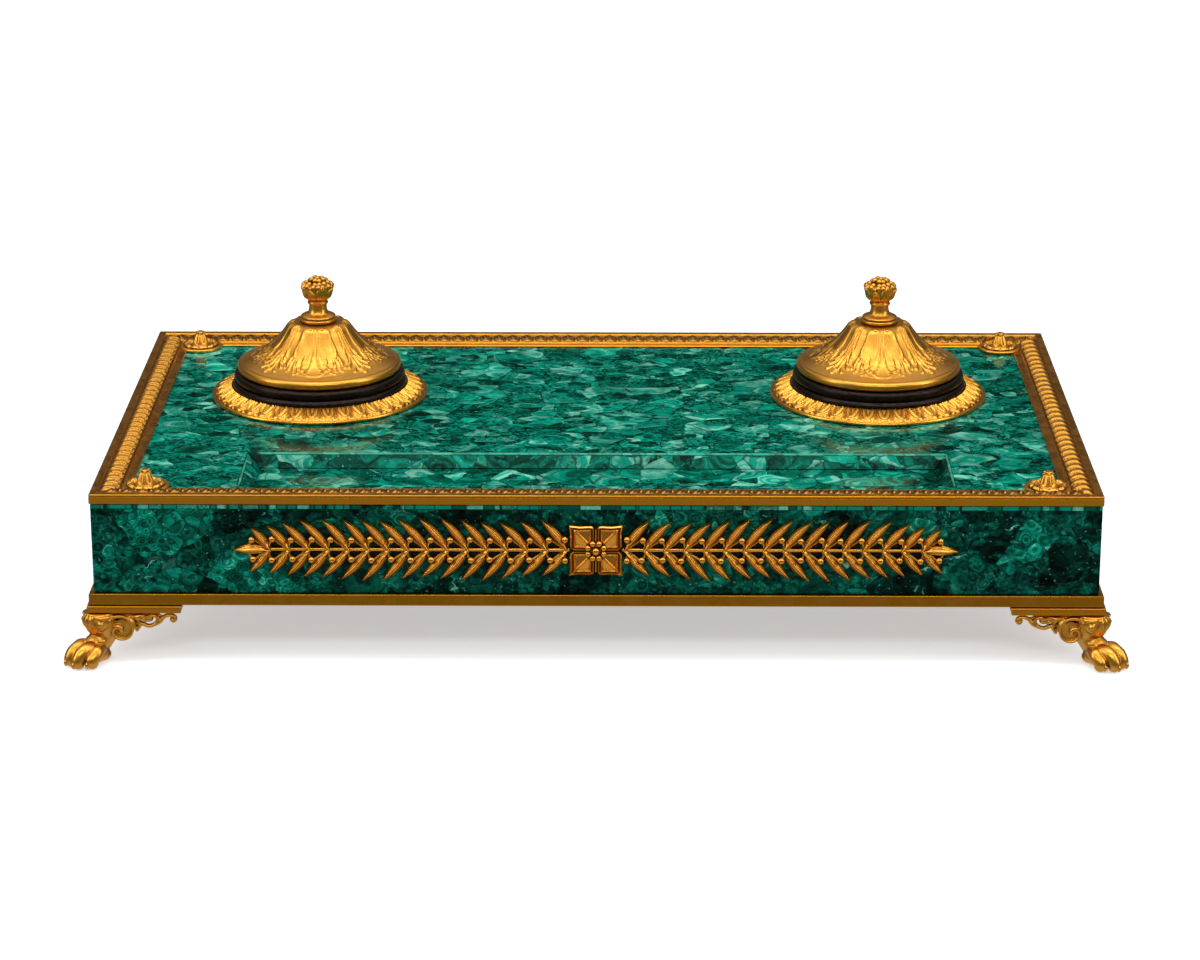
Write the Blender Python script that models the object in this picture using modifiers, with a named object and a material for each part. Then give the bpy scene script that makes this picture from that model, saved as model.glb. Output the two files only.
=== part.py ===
# Desk inkstand: a wooden carcass faced in malachite, framed in gilt bronze, on four lion-paw feet.
# Two covered ink wells stand behind a sunk pen tray. Metres, +Z up. The origin is the middle of the
# footprint at the soles of the feet, and the front faces -Y. Inset means distance in from the frame's
# outer face. Each piece's sizes stand above the function that makes it.

import math

import bmesh
import bpy
from mathutils import Matrix, Vector

# Plan of the case and the stack of levels from the soles up
frame_length = 0.420
frame_depth = 0.240
foot_height = 0.022
plinth_height = 0.0032
moulding_height = 0.0048
panel_height = 0.0385
fascia_height = 0.0043
seat_gap = 0.0003
cut_overrun = 0.004
merge_distance = 0.00001
sharp_angle = math.radians(35)
flat_angle = math.radians(0.2)

plinth_bottom = foot_height + seat_gap
plinth_top = plinth_bottom + plinth_height
moulding_bottom = plinth_top + seat_gap
moulding_top = moulding_bottom + moulding_height
panel_bottom = moulding_top + seat_gap
panel_top = panel_bottom + panel_height
rail_bottom = panel_top + seat_gap
rail_top = rail_bottom + fascia_height

# Malachite skins and wooden carcass
panel_setback = 0.0005
panel_thickness = 0.003
slab_thickness = 0.004
slab_drop = 0.003
board_thickness = 0.008
carcass_rail_thickness = 0.008

panel_back_inset = panel_setback + panel_thickness
carcass_inset = panel_back_inset + seat_gap
slab_top = rail_top - slab_drop
slab_bottom = slab_top - slab_thickness
top_board_top = slab_bottom - seat_gap
top_board_bottom = top_board_top - board_thickness
base_board_top = moulding_bottom + board_thickness
carcass_bottom = base_board_top + seat_gap
carcass_top = top_board_bottom - seat_gap

# Top frame rail, from its outer face inwards
rail_edge_bevel = 0.0002
rail_flat_width = 0.0031
rail_step = 0.0005
gadroon_width = 0.0079
gadroon_fall = 0.0013
gadroon_height = 0.0012
gadroon_pitch = 0.0066
gadroon_lean = 0.0022
rail_bead_width = 0.0006
rail_bead_rise = 0.0002
rail_fillet_width = 0.0037
rail_lip_thickness = 0.0003
fascia_thickness = 0.0033
gadroon_crest_share = 0.32

# Base moulding and corner plinths
moulding_inner_inset = 0.009
moulding_top_reach = 0.0006
moulding_splay = 0.001
plinth_reach = 0.002
plinth_fillet_reach = 0.0005
plinth_fillet_height = 0.001
plinth_length = 0.0387

# Pen tray, let into the slab
tray_end_inset = 0.0595
tray_width = 0.0435
tray_front_inset = 0.022
tray_depth = 0.0055
tray_floor_thickness = 0.003
tray_slope_run = 0.0055
tray_side_edge = 0.003
tray_side_foot = 0.0033

tray_length = frame_length - 2 * tray_end_inset
tray_centre_y = -frame_depth / 2 + tray_front_inset + tray_width / 2
tray_floor_top = slab_top - tray_depth
tray_floor_bottom = tray_floor_top - tray_floor_thickness

# Wells: liner, flange, collar, pot and lid share one axis
well_end_inset = 0.0837
well_set_back = 0.031
liner_bore = 0.0312
liner_wall = 0.003
liner_lip_reach = 0.0047
liner_lip_thickness = 0.0017
liner_depth = 0.015
well_clearance = 0.0005
well_facets = 22
flange_leaf_run = 0.0077
flange_rim_height = 0.0014
flange_rim_width = 0.0013
flange_seat_height = 0.0017
flange_leaf_rise = 0.0036
flange_leaf_relief = 0.0009
flange_leaf_count = 42
flange_crest_share = 0.42
collar_bore_step = 0.0021
collar_overhang = 0.0003
collar_lower_round = 0.002
collar_upper_round = 0.0011
collar_height = 0.0077
pot_side_gap = 0.0017
pot_wall = 0.0025
pot_base_thickness = 0.003
pot_rim_clearance = 0.0004
pot_rim_height = 0.0022
pot_depth = 0.0375
lid_set_in = 0.0003
lid_rise = 0.0237
lid_wall = 0.002
lid_spigot_clearance = 0.0006
lid_spigot_wall = 0.0015
lid_spigot_depth = 0.003
lid_leaf_relief = 0.0006
lid_leaf_count = 8
finial_height = 0.0187
finial_bulb_radius = 0.0072
finial_lobe_relief = 0.0005
finial_lobe_count = 6
stud_radius = 0.0015
stud_clearance = 0.0003
stud_reach = 0.004
nut_radius = 0.0036
nut_thickness = 0.002
nut_sides = 6

# The lid's outer line from the crown's edge down to the rim, as shares of its radius and rise
lid_outline_shares = (
    (0.26, 1), (0.36, 0.86), (0.51, 0.58), (0.705, 0.316), (0.92, 0.165), (0.99, 0.109), (1, 0.05),
    (0.985, 0),
)
lid_inner_places = (1, 3, 4)
lid_leaf_start_share = 0.29
lid_leaf_end_share = 0.9
# The finial's line from its top down to the disc's underside, as shares of the bulb's radius and its height
finial_outline_shares = (
    (0, 1), (0.45, 0.965), (0.82, 0.87), (1, 0.71), (0.86, 0.56), (0.56, 0.43), (0.64, 0.34),
    (0.53, 0.26), (0.56, 0.17), (1.18, 0.1), (1.18, 0),
)
# The collar's two rounds from the top down, as shares between waist and round, and of its height
collar_round_shares = ((0.35, 1), (1, 0.82), (0.85, 0.6), (0, 0.48))
collar_foot_shares = ((1, 0.3), (0.8, 0))

well_x = frame_length / 2 - well_end_inset
flange_bottom = slab_top + seat_gap
flange_seat = flange_bottom + flange_seat_height
liner_radius = liner_bore + liner_wall
liner_lip_bottom = flange_seat + seat_gap
liner_top = liner_lip_bottom + liner_lip_thickness
liner_lip_radius = liner_radius + liner_lip_reach
flange_lip_radius = liner_lip_radius + well_clearance + seat_gap
flange_leaf_foot = flange_lip_radius + flange_leaf_run
flange_radius = flange_leaf_foot + flange_rim_width
flange_bore = liner_radius + well_clearance
collar_bore = liner_bore + collar_bore_step
collar_radius = liner_lip_radius + collar_overhang
collar_waist = collar_radius - collar_lower_round
collar_upper_radius = collar_waist + collar_upper_round
collar_bottom = liner_top + seat_gap
collar_top = collar_bottom + collar_height
pot_radius = liner_bore - pot_side_gap
pot_rim_radius = collar_bore - pot_rim_clearance
pot_rim_bottom = liner_top + seat_gap
pot_rim_top = pot_rim_bottom + pot_rim_height
pot_bottom = pot_rim_bottom - pot_depth
lid_radius = collar_waist - lid_set_in
lid_spigot_radius = collar_bore - lid_spigot_clearance
lid_bottom = collar_top + seat_gap
lid_top = lid_bottom + lid_rise
finial_bottom = lid_top + seat_gap

# Corner bosses, let into the frame's inner corners
boss_inset_x = 0.0215
boss_inset_y = 0.0177
boss_radius = 0.0099
boss_disc_height = 0.0012
boss_leaf_radius = 0.0076
boss_leaf_height = 0.002
boss_bud_radius = 0.0032
boss_bud_height = 0.006
boss_stud_length = 0.01
boss_stud_sides = 6
boss_facets = 10
# The bud's line from its knob down to its foot, as shares of the bud's radius and height
boss_bud_shares = ((0, 1), (0.34, 0.93), (0.3, 0.8), (0.6, 0.72), (0.97, 0.04))

# Front mounts: rosette and laurel sprays, pinned through the front panel
trim_height_share = 0.51
rosette_size = 0.0222
rosette_plate_thickness = 0.0007
petal_thickness = 0.0014
petal_relief = 0.0006
petal_foot_share = 0.96
petal_rim_share = 0.84
petal_panel_share = 0.6
rosette_eye_radius = 0.0012
rosette_berry_radius = 0.001
rosette_berry_count = 8
rosette_berry_circle = 0.0029
spray_start = 0.0116
leaf_pitch = 0.008
leaf_pairs = 16
leaf_length = 0.0162
leaf_width = 0.0037
leaf_relief = 0.0017
leaf_angle = math.radians(47)
end_leaf_share = 0.8
stem_width = 0.0011
stem_thickness = 0.0012
berry_radius = 0.0011
pin_radius = 0.0007
pin_length = 0.0025
pin_clearance = 0.0003
spray_pin_shares = (0.06, 0.94)
rosette_pin_share = 0.25
# A leaf's edge and its berry's place, as shares of its length and half width
leaf_edge_shares = ((0, 0.12), (0.24, 1), (0.68, 0.84))
leaf_berry_shares = (0.22, 0.82)
leaf_crest_share = 0.4

# Lion-paw feet, in plan from the frame's corner, and their screws
hip_radius = 0.009
paw_length = 0.0222
paw_width = 0.0176
paw_reach = 0.0053
toe_groove = 0.0011
foot_ring_points = 14
wing_setback = -0.001
wing_thickness = 0.0035
seat_plate_size = 0.0225
seat_plate_thickness = 0.0028
volute_centre = 0.01255
volute_drop = 0.0074
volute_radius = 0.0048
volute_relief = 0.0006
volute_disc_share = 0.9
volute_sides = 10
scroll_centre = 0.0245
scroll_drop = 0.0034
scroll_radius = 0.0034
curl_centre = 0.0343
curl_drop = 0.0021
curl_radius = 0.0019
screw_inset = 0.0145
screw_radius = 0.0016
screw_head_radius = 0.0032
screw_head_height = 0.002
screw_clearance = 0.0003
screw_sides = 8
# Points of the wing's outline between its scrolls, as shares of the curl's distance and the foot's height
wing_leaf_shares = ((0.542, 0.609), (0.58, 0.618), (0.606, 0.745))
wing_neck_shares = ((0.886, 0.891), (0.942, 0.909))
wing_top_shares = ((0.898, 0.986), (0.828, 0.936), (0.764, 0.982), (0.735, 1))
# Rings of the foot from the top down: centre along the diagonal and half sizes along and across it,
# as shares of the hip's radius, with the height as a share of the foot's height
leg_ring_shares = (
    (-0.3, 1, 1, 0.999), (0.02, 0.93, 0.96, 0.885), (-0.22, 0.72, 0.78, 0.73),
    (-0.48, 0.56, 0.58, 0.59), (-0.46, 0.58, 0.62, 0.5),
)
# Rings of the paw: centre and half length as shares of its length, half width as a share of its width
paw_ring_shares = (
    (-0.02, 0.34, 0.37, 0.435), (0.13, 0.43, 0.44, 0.34), (0.22, 0.49, 0.495, 0.19),
    (0.255, 0.505, 0.5, 0.06), (0.24, 0.46, 0.46, 0),
)


def empty_scene():
    for thing in list(bpy.data.objects):
        bpy.data.objects.remove(thing)


def new_collection(name):
    collection = bpy.data.collections.new(name)
    bpy.context.scene.collection.children.link(collection)
    return collection


def finish(name, colour, roughness, metallic=0.0, transmission=0.0):
    material = bpy.data.materials.new(name)
    material.use_nodes = True
    shader = material.node_tree.nodes["Principled BSDF"]
    shader.inputs["Base Color"].default_value = (*colour, 1)
    shader.inputs["Roughness"].default_value = roughness
    shader.inputs["Metallic"].default_value = metallic
    shader.inputs["Transmission Weight"].default_value = transmission
    material.diffuse_color = (*colour, 1)
    return material


def put(name, mesh_source, material, collection=None, smooth=True):
    """Make an object from a bmesh or a mesh, and place it in the part's collection."""
    if isinstance(mesh_source, bmesh.types.BMesh):
        mesh = bpy.data.meshes.new(name)
        mesh_source.to_mesh(mesh)
        mesh_source.free()
    else:
        mesh = mesh_source
    if smooth:
        mesh.shade_smooth()
        mesh.set_sharp_from_angle(angle=sharp_angle)
    if material and not mesh.materials:
        mesh.materials.append(material)
    thing = bpy.data.objects.new(name, mesh)
    (collection or part).objects.link(thing)
    return thing


def box_bmesh(low, high):
    bm = bmesh.new()
    bmesh.ops.create_cube(bm, size=1)
    size = Vector(high) - Vector(low)
    middle = (Vector(high) + Vector(low)) / 2
    bmesh.ops.scale(bm, vec=size, verts=bm.verts)
    bmesh.ops.translate(bm, vec=middle, verts=bm.verts)
    return bm


def box(name, low, high, material):
    return put(name, box_bmesh(low, high), material, smooth=False)


def rod_bmesh(radius, bottom, top, sides, centre=(0, 0)):
    bm = bmesh.new()
    middle = Matrix.Translation((centre[0], centre[1], (bottom + top) / 2))
    bmesh.ops.create_cone(bm, cap_ends=True, segments=sides, radius1=radius, radius2=radius,
                          depth=top - bottom, matrix=middle)
    return bm


def cutter(name, bm):
    thing = put(name, bm, None, cutters)
    thing.hide_render = True
    thing.display_type = "WIRE"
    return thing


def combine(target, tool, operation):
    modifier = target.modifiers.new(operation.lower(), "BOOLEAN")
    modifier.operation = operation
    modifier.solver = "EXACT"
    modifier.object = tool
    return target


def join_flats(thing):
    """Join neighbouring faces that lie in one plane, which unions leave split."""
    modifier = thing.modifiers.new("flats", "DECIMATE")
    modifier.decimate_type = "DISSOLVE"
    modifier.angle_limit = flat_angle
    return thing


def evaluated_mesh(thing):
    """Read an object's mesh with its modifiers worked out."""
    view = bpy.context.evaluated_depsgraph_get()
    return bpy.data.meshes.new_from_object(thing.evaluated_get(view))


def settle(thing):
    """Apply an object's modifiers, so that its points can be moved."""
    bpy.context.view_layer.update()
    mesh = evaluated_mesh(thing)
    thing.modifiers.clear()
    thing.data = mesh
    return thing


def turned(name, outline, steps, material, closed=False):
    """Turn an outline of (radius, height) points, listed from the top down its outer side."""
    mesh = bpy.data.meshes.new(name)
    points = [(radius, 0, height) for radius, height in outline]
    edges = [(i, i + 1) for i in range(len(points) - 1)]
    if closed:
        edges.append((len(points) - 1, 0))
    mesh.from_pydata(points, edges, [])
    thing = put(name, mesh, material)
    screw = thing.modifiers.new("turn", "SCREW")
    screw.steps = steps
    screw.render_steps = steps
    screw.use_merge_vertices = True
    screw.merge_threshold = merge_distance
    screw.use_smooth_shade = True
    return thing


def carve(thing, move):
    """Settle a piece and shift each of its points by a rule, as chasing does on a casting."""
    settle(thing)
    for vertex in thing.data.vertices:
        vertex.co = move(vertex.co)
    return thing


def loft(bm, rings):
    """Skin closed rings of equally many points, and close both ends."""
    rows = [[bm.verts.new(point) for point in ring] for ring in rings]
    count = len(rows[0])
    for upper, lower in zip(rows, rows[1:]):
        for i in range(count):
            j = (i + 1) % count
            bm.faces.new((upper[i], upper[j], lower[j], lower[i]))
    bm.faces.new(rows[0])
    bm.faces.new(rows[-1])
    bmesh.ops.recalc_face_normals(bm, faces=bm.faces)


def cut_mitres(bm, length):
    """Cut both ends of a bar at 45 degrees, half a seat gap back from the corner's diagonal."""
    for side in (1, -1):
        normal = Vector((side, 1, 0)).normalized()
        point = Vector((side * length / 2, 0, 0)) - normal * seat_gap / 2
        everything = bm.verts[:] + bm.edges[:] + bm.faces[:]
        result = bmesh.ops.bisect_plane(bm, geom=everything, plane_co=point, plane_no=normal,
                                        clear_outer=True)
        rim = [item for item in result["geom_cut"] if isinstance(item, bmesh.types.BMEdge)]
        bmesh.ops.edgeloop_fill(bm, edges=rim)
    bmesh.ops.recalc_face_normals(bm, faces=bm.faces)


def straight_bar(outline, length):
    """Draw an outline of (inset, height) points out along X, past both mitres."""
    bm = bmesh.new()
    half = length / 2 + cut_overrun
    face = bm.faces.new([bm.verts.new((-half, inset, height)) for inset, height in outline])
    drawn = bmesh.ops.extrude_face_region(bm, geom=[face])
    moved = [item for item in drawn["geom"] if isinstance(item, bmesh.types.BMVert)]
    bmesh.ops.translate(bm, vec=(2 * half, 0, 0), verts=moved)
    return bm


def raise_to(bm, outline, crest):
    """Close an outline of points with faces that meet at one crest."""
    for first, second in zip(outline, outline[1:] + outline[:1]):
        bm.faces.new((first, second, crest))


def gadrooned_bar(length):
    """Frame rail: a moulded bar whose upper band swells into leaning ribs."""
    bm = bmesh.new()
    ribs = round(length / gadroon_pitch)
    pitch = length / ribs
    band_start = rail_flat_width + rail_edge_bevel
    band_end = band_start + gadroon_width
    band_top = rail_top - rail_step
    half = length / 2 + cut_overrun
    outer = []
    inner = []
    for i in range(-1, ribs + 2):
        along = i * pitch - length / 2
        outer.append(bm.verts.new((along, band_start, band_top)))
        inner.append(bm.verts.new((along + gadroon_lean, band_end, band_top - gadroon_fall)))
    for k in range(len(outer) - 1):
        middle = (outer[k].co + outer[k + 1].co) / 2
        lean = Vector((gadroon_lean, gadroon_width, -gadroon_fall)) * gadroon_crest_share
        crest = bm.verts.new(middle + lean + Vector((0, 0, gadroon_height)))
        raise_to(bm, [outer[k], outer[k + 1], inner[k + 1], inner[k]], crest)
    bead = (band_end + rail_bead_width, band_top - gadroon_fall + rail_bead_rise)
    fillet = (bead[0] + rail_fillet_width, slab_top + seat_gap + rail_lip_thickness)
    underside = slab_top + seat_gap
    around = [
        bead, fillet, (fillet[0], underside), (fascia_thickness, underside),
        (fascia_thickness, rail_bottom), (0, rail_bottom), (0, rail_top - rail_edge_bevel),
        (rail_edge_bevel, rail_top), (rail_flat_width, rail_top),
    ]
    start = [bm.verts.new((-half, inset, height)) for inset, height in around]
    end = [bm.verts.new((half, inset, height)) for inset, height in around]
    for k in range(len(around) - 1):
        bm.faces.new((start[k], end[k], end[k + 1], start[k + 1]))
    bm.faces.new(inner + [end[0], start[0]])
    bm.faces.new(outer + [end[-1], start[-1]])
    bm.faces.new(start + [outer[0], inner[0]])
    bm.faces.new(end + [outer[-1], inner[-1]])
    bmesh.ops.recalc_face_normals(bm, faces=bm.faces)
    return bm


def around_the_case(length, depth):
    """Name, length and placing of the four sides of a rectangle of bars."""
    quarter = math.pi / 2
    return (
        ("front", length, Matrix.Translation((0, -depth / 2, 0))),
        ("back", length, Matrix.Translation((0, depth / 2, 0)) @ Matrix.Rotation(2 * quarter, 4, "Z")),
        ("left", depth, Matrix.Translation((-length / 2, 0, 0)) @ Matrix.Rotation(-quarter, 4, "Z")),
        ("right", depth, Matrix.Translation((length / 2, 0, 0)) @ Matrix.Rotation(quarter, 4, "Z")),
    )


def corners():
    """Name, side signs and turn of the four corners, starting at the front left."""
    return (
        ("front_left", -1, -1, 0), ("front_right", 1, -1, math.pi / 2),
        ("back_right", 1, 1, math.pi), ("back_left", -1, 1, -math.pi / 2),
    )


def boss_places():
    return [
        (name, sx * (frame_length / 2 - boss_inset_x), sy * (frame_depth / 2 - boss_inset_y))
        for name, sx, sy, _ in corners()
    ]


def screw_places():
    return [
        (sx * (frame_length / 2 - screw_inset), sy * (frame_depth / 2 - screw_inset))
        for _, sx, sy, _ in corners()
    ]


def make_carcass():
    half_x = frame_length / 2
    half_y = frame_depth / 2
    low = moulding_inner_inset + seat_gap
    board = box("base_board", (low - half_x, low - half_y, moulding_bottom),
                (half_x - low, half_y - low, base_board_top), wood)
    flange_low = (carcass_inset - half_x, carcass_inset - half_y, moulding_top + seat_gap)
    flange_high = (half_x - carcass_inset, half_y - carcass_inset, base_board_top)
    combine(board, cutter("base_board_edge", box_bmesh(flange_low, flange_high)), "UNION")
    for i, place in enumerate(screw_places()):
        shank = rod_bmesh(screw_radius + screw_clearance, moulding_bottom - cut_overrun,
                          base_board_top + cut_overrun, screw_sides, place)
        combine(board, cutter(f"board_screw_hole_{i}", shank), "DIFFERENCE")
        head = rod_bmesh(screw_head_radius + screw_clearance,
                         base_board_top - screw_head_height - seat_gap,
                         base_board_top + cut_overrun, screw_sides, place)
        combine(board, cutter(f"board_screw_sink_{i}", head), "DIFFERENCE")
    inner = carcass_inset + carcass_rail_thickness
    for side, sign in (("front", -1), ("back", 1)):
        near, far = sorted((sign * (half_y - carcass_inset), sign * (half_y - inner)))
        box(f"carcass_{side}", (carcass_inset - half_x, near, carcass_bottom),
            (half_x - carcass_inset, far, carcass_top), wood)
    for side, sign in (("left", -1), ("right", 1)):
        near, far = sorted((sign * (half_x - carcass_inset), sign * (half_x - inner)))
        end = half_y - inner - seat_gap
        box(f"carcass_{side}", (near, -end, carcass_bottom), (far, end, carcass_top), wood)


def cut_top_holes(piece, bottom, top, tag):
    """Cut the two well holes and the four boss stud holes through a board or slab."""
    for side in (-1, 1):
        hole = rod_bmesh(liner_radius + well_clearance, bottom - cut_overrun, top + cut_overrun,
                         well_facets, (side * well_x, well_set_back))
        combine(piece, cutter(f"{tag}_well_hole_{side}", hole), "DIFFERENCE")
    for name, x, y in boss_places():
        hole = rod_bmesh(stud_radius + stud_clearance, bottom - cut_overrun, top + cut_overrun,
                         boss_stud_sides, (x, y))
        combine(piece, cutter(f"{tag}_stud_hole_{name}", hole), "DIFFERENCE")


def make_top():
    half_x = frame_length / 2 - carcass_inset
    half_y = frame_depth / 2 - carcass_inset
    board = box("top_board", (-half_x, -half_y, top_board_bottom), (half_x, half_y, top_board_top), wood)
    slab = box("malachite_top", (-half_x, -half_y, slab_bottom), (half_x, half_y, slab_top), malachite)
    pocket_x = tray_length / 2 + seat_gap
    pocket_y = tray_width / 2 + seat_gap
    low = (-pocket_x, tray_centre_y - pocket_y, tray_floor_bottom - seat_gap)
    high = (pocket_x, tray_centre_y + pocket_y, slab_top + cut_overrun)
    pocket = cutter("tray_pocket", box_bmesh(low, high))
    for piece, bottom, top, tag in ((board, top_board_bottom, top_board_top, "board"),
                                    (slab, slab_bottom, slab_top, "slab")):
        combine(piece, pocket, "DIFFERENCE")
        cut_top_holes(piece, bottom, top, tag)


def make_tray():
    half_x = tray_length / 2
    half_y = tray_width / 2
    box("tray_floor", (-half_x, tray_centre_y - half_y, tray_floor_bottom),
        (half_x, tray_centre_y + half_y, tray_floor_top), malachite)
    foot = tray_floor_top + seat_gap
    outline = ((0, slab_top), (tray_slope_run, foot), (tray_slope_run - tray_side_foot, foot),
               (0, slab_top - tray_side_edge))
    shift = Matrix.Translation((0, tray_centre_y, 0))
    for side, length, place in around_the_case(tray_length, tray_width):
        bm = straight_bar(outline, length)
        cut_mitres(bm, length)
        put(f"tray_side_{side}", bm, malachite).matrix_world = shift @ place


def trim_level():
    return panel_bottom + panel_height * trim_height_share


def spray_length():
    return leaf_pitch * (leaf_pairs - 1) + leaf_pitch / 2


def pin_places():
    """Where the front mounts' pins stand, along the trim's centre line."""
    places = [side * rosette_size * rosette_pin_share for side in (-1, 1)]
    for side in (-1, 1):
        places += [side * (spray_start + share * spray_length()) for share in spray_pin_shares]
    return places


def pin_bmesh(radius, x, start, end):
    """A square lug that runs back into the panel from one depth to another."""
    bm = rod_bmesh(radius, start, end, 4)
    upright = Matrix.Translation((x, 0, trim_level())) @ Matrix.Rotation(-math.pi / 2, 4, "X")
    bm.transform(upright)
    return bm


def make_panels():
    outer_x = frame_length / 2 - panel_setback
    outer_y = frame_depth / 2 - panel_setback
    inner_y = frame_depth / 2 - panel_back_inset
    inner_x = frame_length / 2 - panel_back_inset
    front = box("malachite_front", (-outer_x, -outer_y, panel_bottom), (outer_x, -inner_y, panel_top),
                malachite)
    for i, x in enumerate(pin_places()):
        hole = pin_bmesh(pin_radius + pin_clearance, x, -outer_y - cut_overrun, -inner_y + cut_overrun)
        combine(front, cutter(f"pin_hole_{i}", hole), "DIFFERENCE")
    box("malachite_back", (-outer_x, inner_y, panel_bottom), (outer_x, outer_y, panel_top), malachite)
    end = inner_y - seat_gap
    box("malachite_left", (-outer_x, -end, panel_bottom), (-inner_x, end, panel_top), malachite)
    box("malachite_right", (inner_x, -end, panel_bottom), (outer_x, end, panel_top), malachite)


def make_frame():
    notches = []
    for name, x, y in boss_places():
        disc = rod_bmesh(boss_radius + seat_gap, slab_top - cut_overrun, rail_top + cut_overrun,
                         2 * boss_facets, (x, y))
        notches.append((name, cutter(f"boss_notch_{name}", disc)))
    for side, length, place in around_the_case(frame_length, frame_depth):
        bm = gadrooned_bar(length)
        cut_mitres(bm, length)
        rail = put(f"frame_rail_{side}", bm, bronze)
        rail.matrix_world = place
        for name, notch in notches:
            if side in name:
                combine(rail, notch, "DIFFERENCE")


def make_base_moulding():
    outline = (
        (-moulding_top_reach, moulding_top), (moulding_inner_inset, moulding_top),
        (moulding_inner_inset, moulding_bottom), (-moulding_top_reach - moulding_splay, moulding_bottom),
    )
    for side, length, place in around_the_case(frame_length, frame_depth):
        bm = straight_bar(outline, length + 2 * (moulding_top_reach + moulding_splay))
        cut_mitres(bm, length)
        put(f"base_moulding_{side}", bm, bronze_dull).matrix_world = place


def square_ring(centre_x, centre_y, half, height):
    return [(centre_x + sx * half, centre_y + sy * half, height)
            for sx, sy in ((-1, -1), (1, -1), (1, 1), (-1, 1))]


def make_plinths():
    fillet_bottom = plinth_top - plinth_fillet_height
    half = plinth_length / 2
    inset = half - plinth_reach
    for (name, sx, sy, _), place in zip(corners(), screw_places()):
        x = sx * (frame_length / 2 - inset)
        y = sy * (frame_depth / 2 - inset)
        wide = half + plinth_fillet_reach
        bm = bmesh.new()
        loft(bm, [
            square_ring(x, y, half, plinth_bottom), square_ring(x, y, half, fillet_bottom),
            square_ring(x, y, wide, fillet_bottom + plinth_fillet_reach),
            square_ring(x, y, wide, plinth_top),
        ])
        plinth = put(f"plinth_{name}", bm, bronze_dull)
        hole = rod_bmesh(screw_radius + screw_clearance, plinth_bottom - cut_overrun,
                         plinth_top + cut_overrun, screw_sides, place)
        combine(plinth, cutter(f"plinth_hole_{name}", hole), "DIFFERENCE")


def arc(centre, radius, start, end, steps):
    """Points of an arc, its angles in degrees."""
    points = []
    for i in range(steps + 1):
        angle = math.radians(start + (end - start) * i / steps)
        points.append((centre[0] + radius * math.cos(angle), centre[1] + radius * math.sin(angle)))
    return points


def wing_outline():
    """The scrolled wing's outline, as (distance along the side, height) from the frame's corner."""
    def read(shares):
        return [(along * curl_centre, up * foot_height) for along, up in shares]
    volute = (volute_centre, foot_height - volute_drop)
    scroll = (scroll_centre, foot_height - scroll_drop)
    curl = (curl_centre, foot_height - curl_drop)
    outline = [(-wing_setback, foot_height), (-wing_setback, foot_height - scroll_drop)]
    outline += arc(volute, volute_radius, 175, 345, 6) + read(wing_leaf_shares)
    outline += arc(scroll, scroll_radius, 215, 320, 4) + read(wing_neck_shares)
    outline += arc(curl, curl_radius, 200, 430, 5) + read(wing_top_shares)
    return outline


def wing_bmesh():
    """A wing plate along the corner's X side, with its volute standing proud at the front."""
    bm = bmesh.new()
    front = wing_setback
    face = bm.faces.new([bm.verts.new((along, front, height)) for along, height in wing_outline()])
    drawn = bmesh.ops.extrude_face_region(bm, geom=[face])
    moved = [item for item in drawn["geom"] if isinstance(item, bmesh.types.BMVert)]
    bmesh.ops.translate(bm, vec=(0, wing_thickness, 0), verts=moved)
    bmesh.ops.recalc_face_normals(bm, faces=bm.faces)
    return bm


def volute_bmesh(radius, proud, sides):
    """A round boss on the wing's volute, lying along Y."""
    bm = rod_bmesh(radius, -wing_thickness / 2, wing_thickness / 2 + proud, sides)
    bm.transform(Matrix.Translation((volute_centre, wing_setback + wing_thickness / 2,
                                     foot_height - volute_drop)) @ Matrix.Rotation(math.pi / 2, 4, "X"))
    return bm


def foot_ring(centre, half_along, half_across, height, toes):
    """An oval ring square to Z, its long axis on the corner's outward diagonal, grooved between toes."""
    outward = Vector((-1, -1, 0)).normalized()
    across = Vector((1, -1, 0)).normalized()
    ring = []
    for i in range(foot_ring_points):
        angle = 2 * math.pi * i / foot_ring_points
        groove = toe_groove if toes and i % 2 == 0 and math.cos(angle) > 0 else 0
        point = outward * (centre + (half_along - groove) * math.cos(angle))
        point += across * (half_across - groove * abs(math.sin(angle))) * math.sin(angle)
        ring.append((point.x, point.y, height))
    return ring


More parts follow.
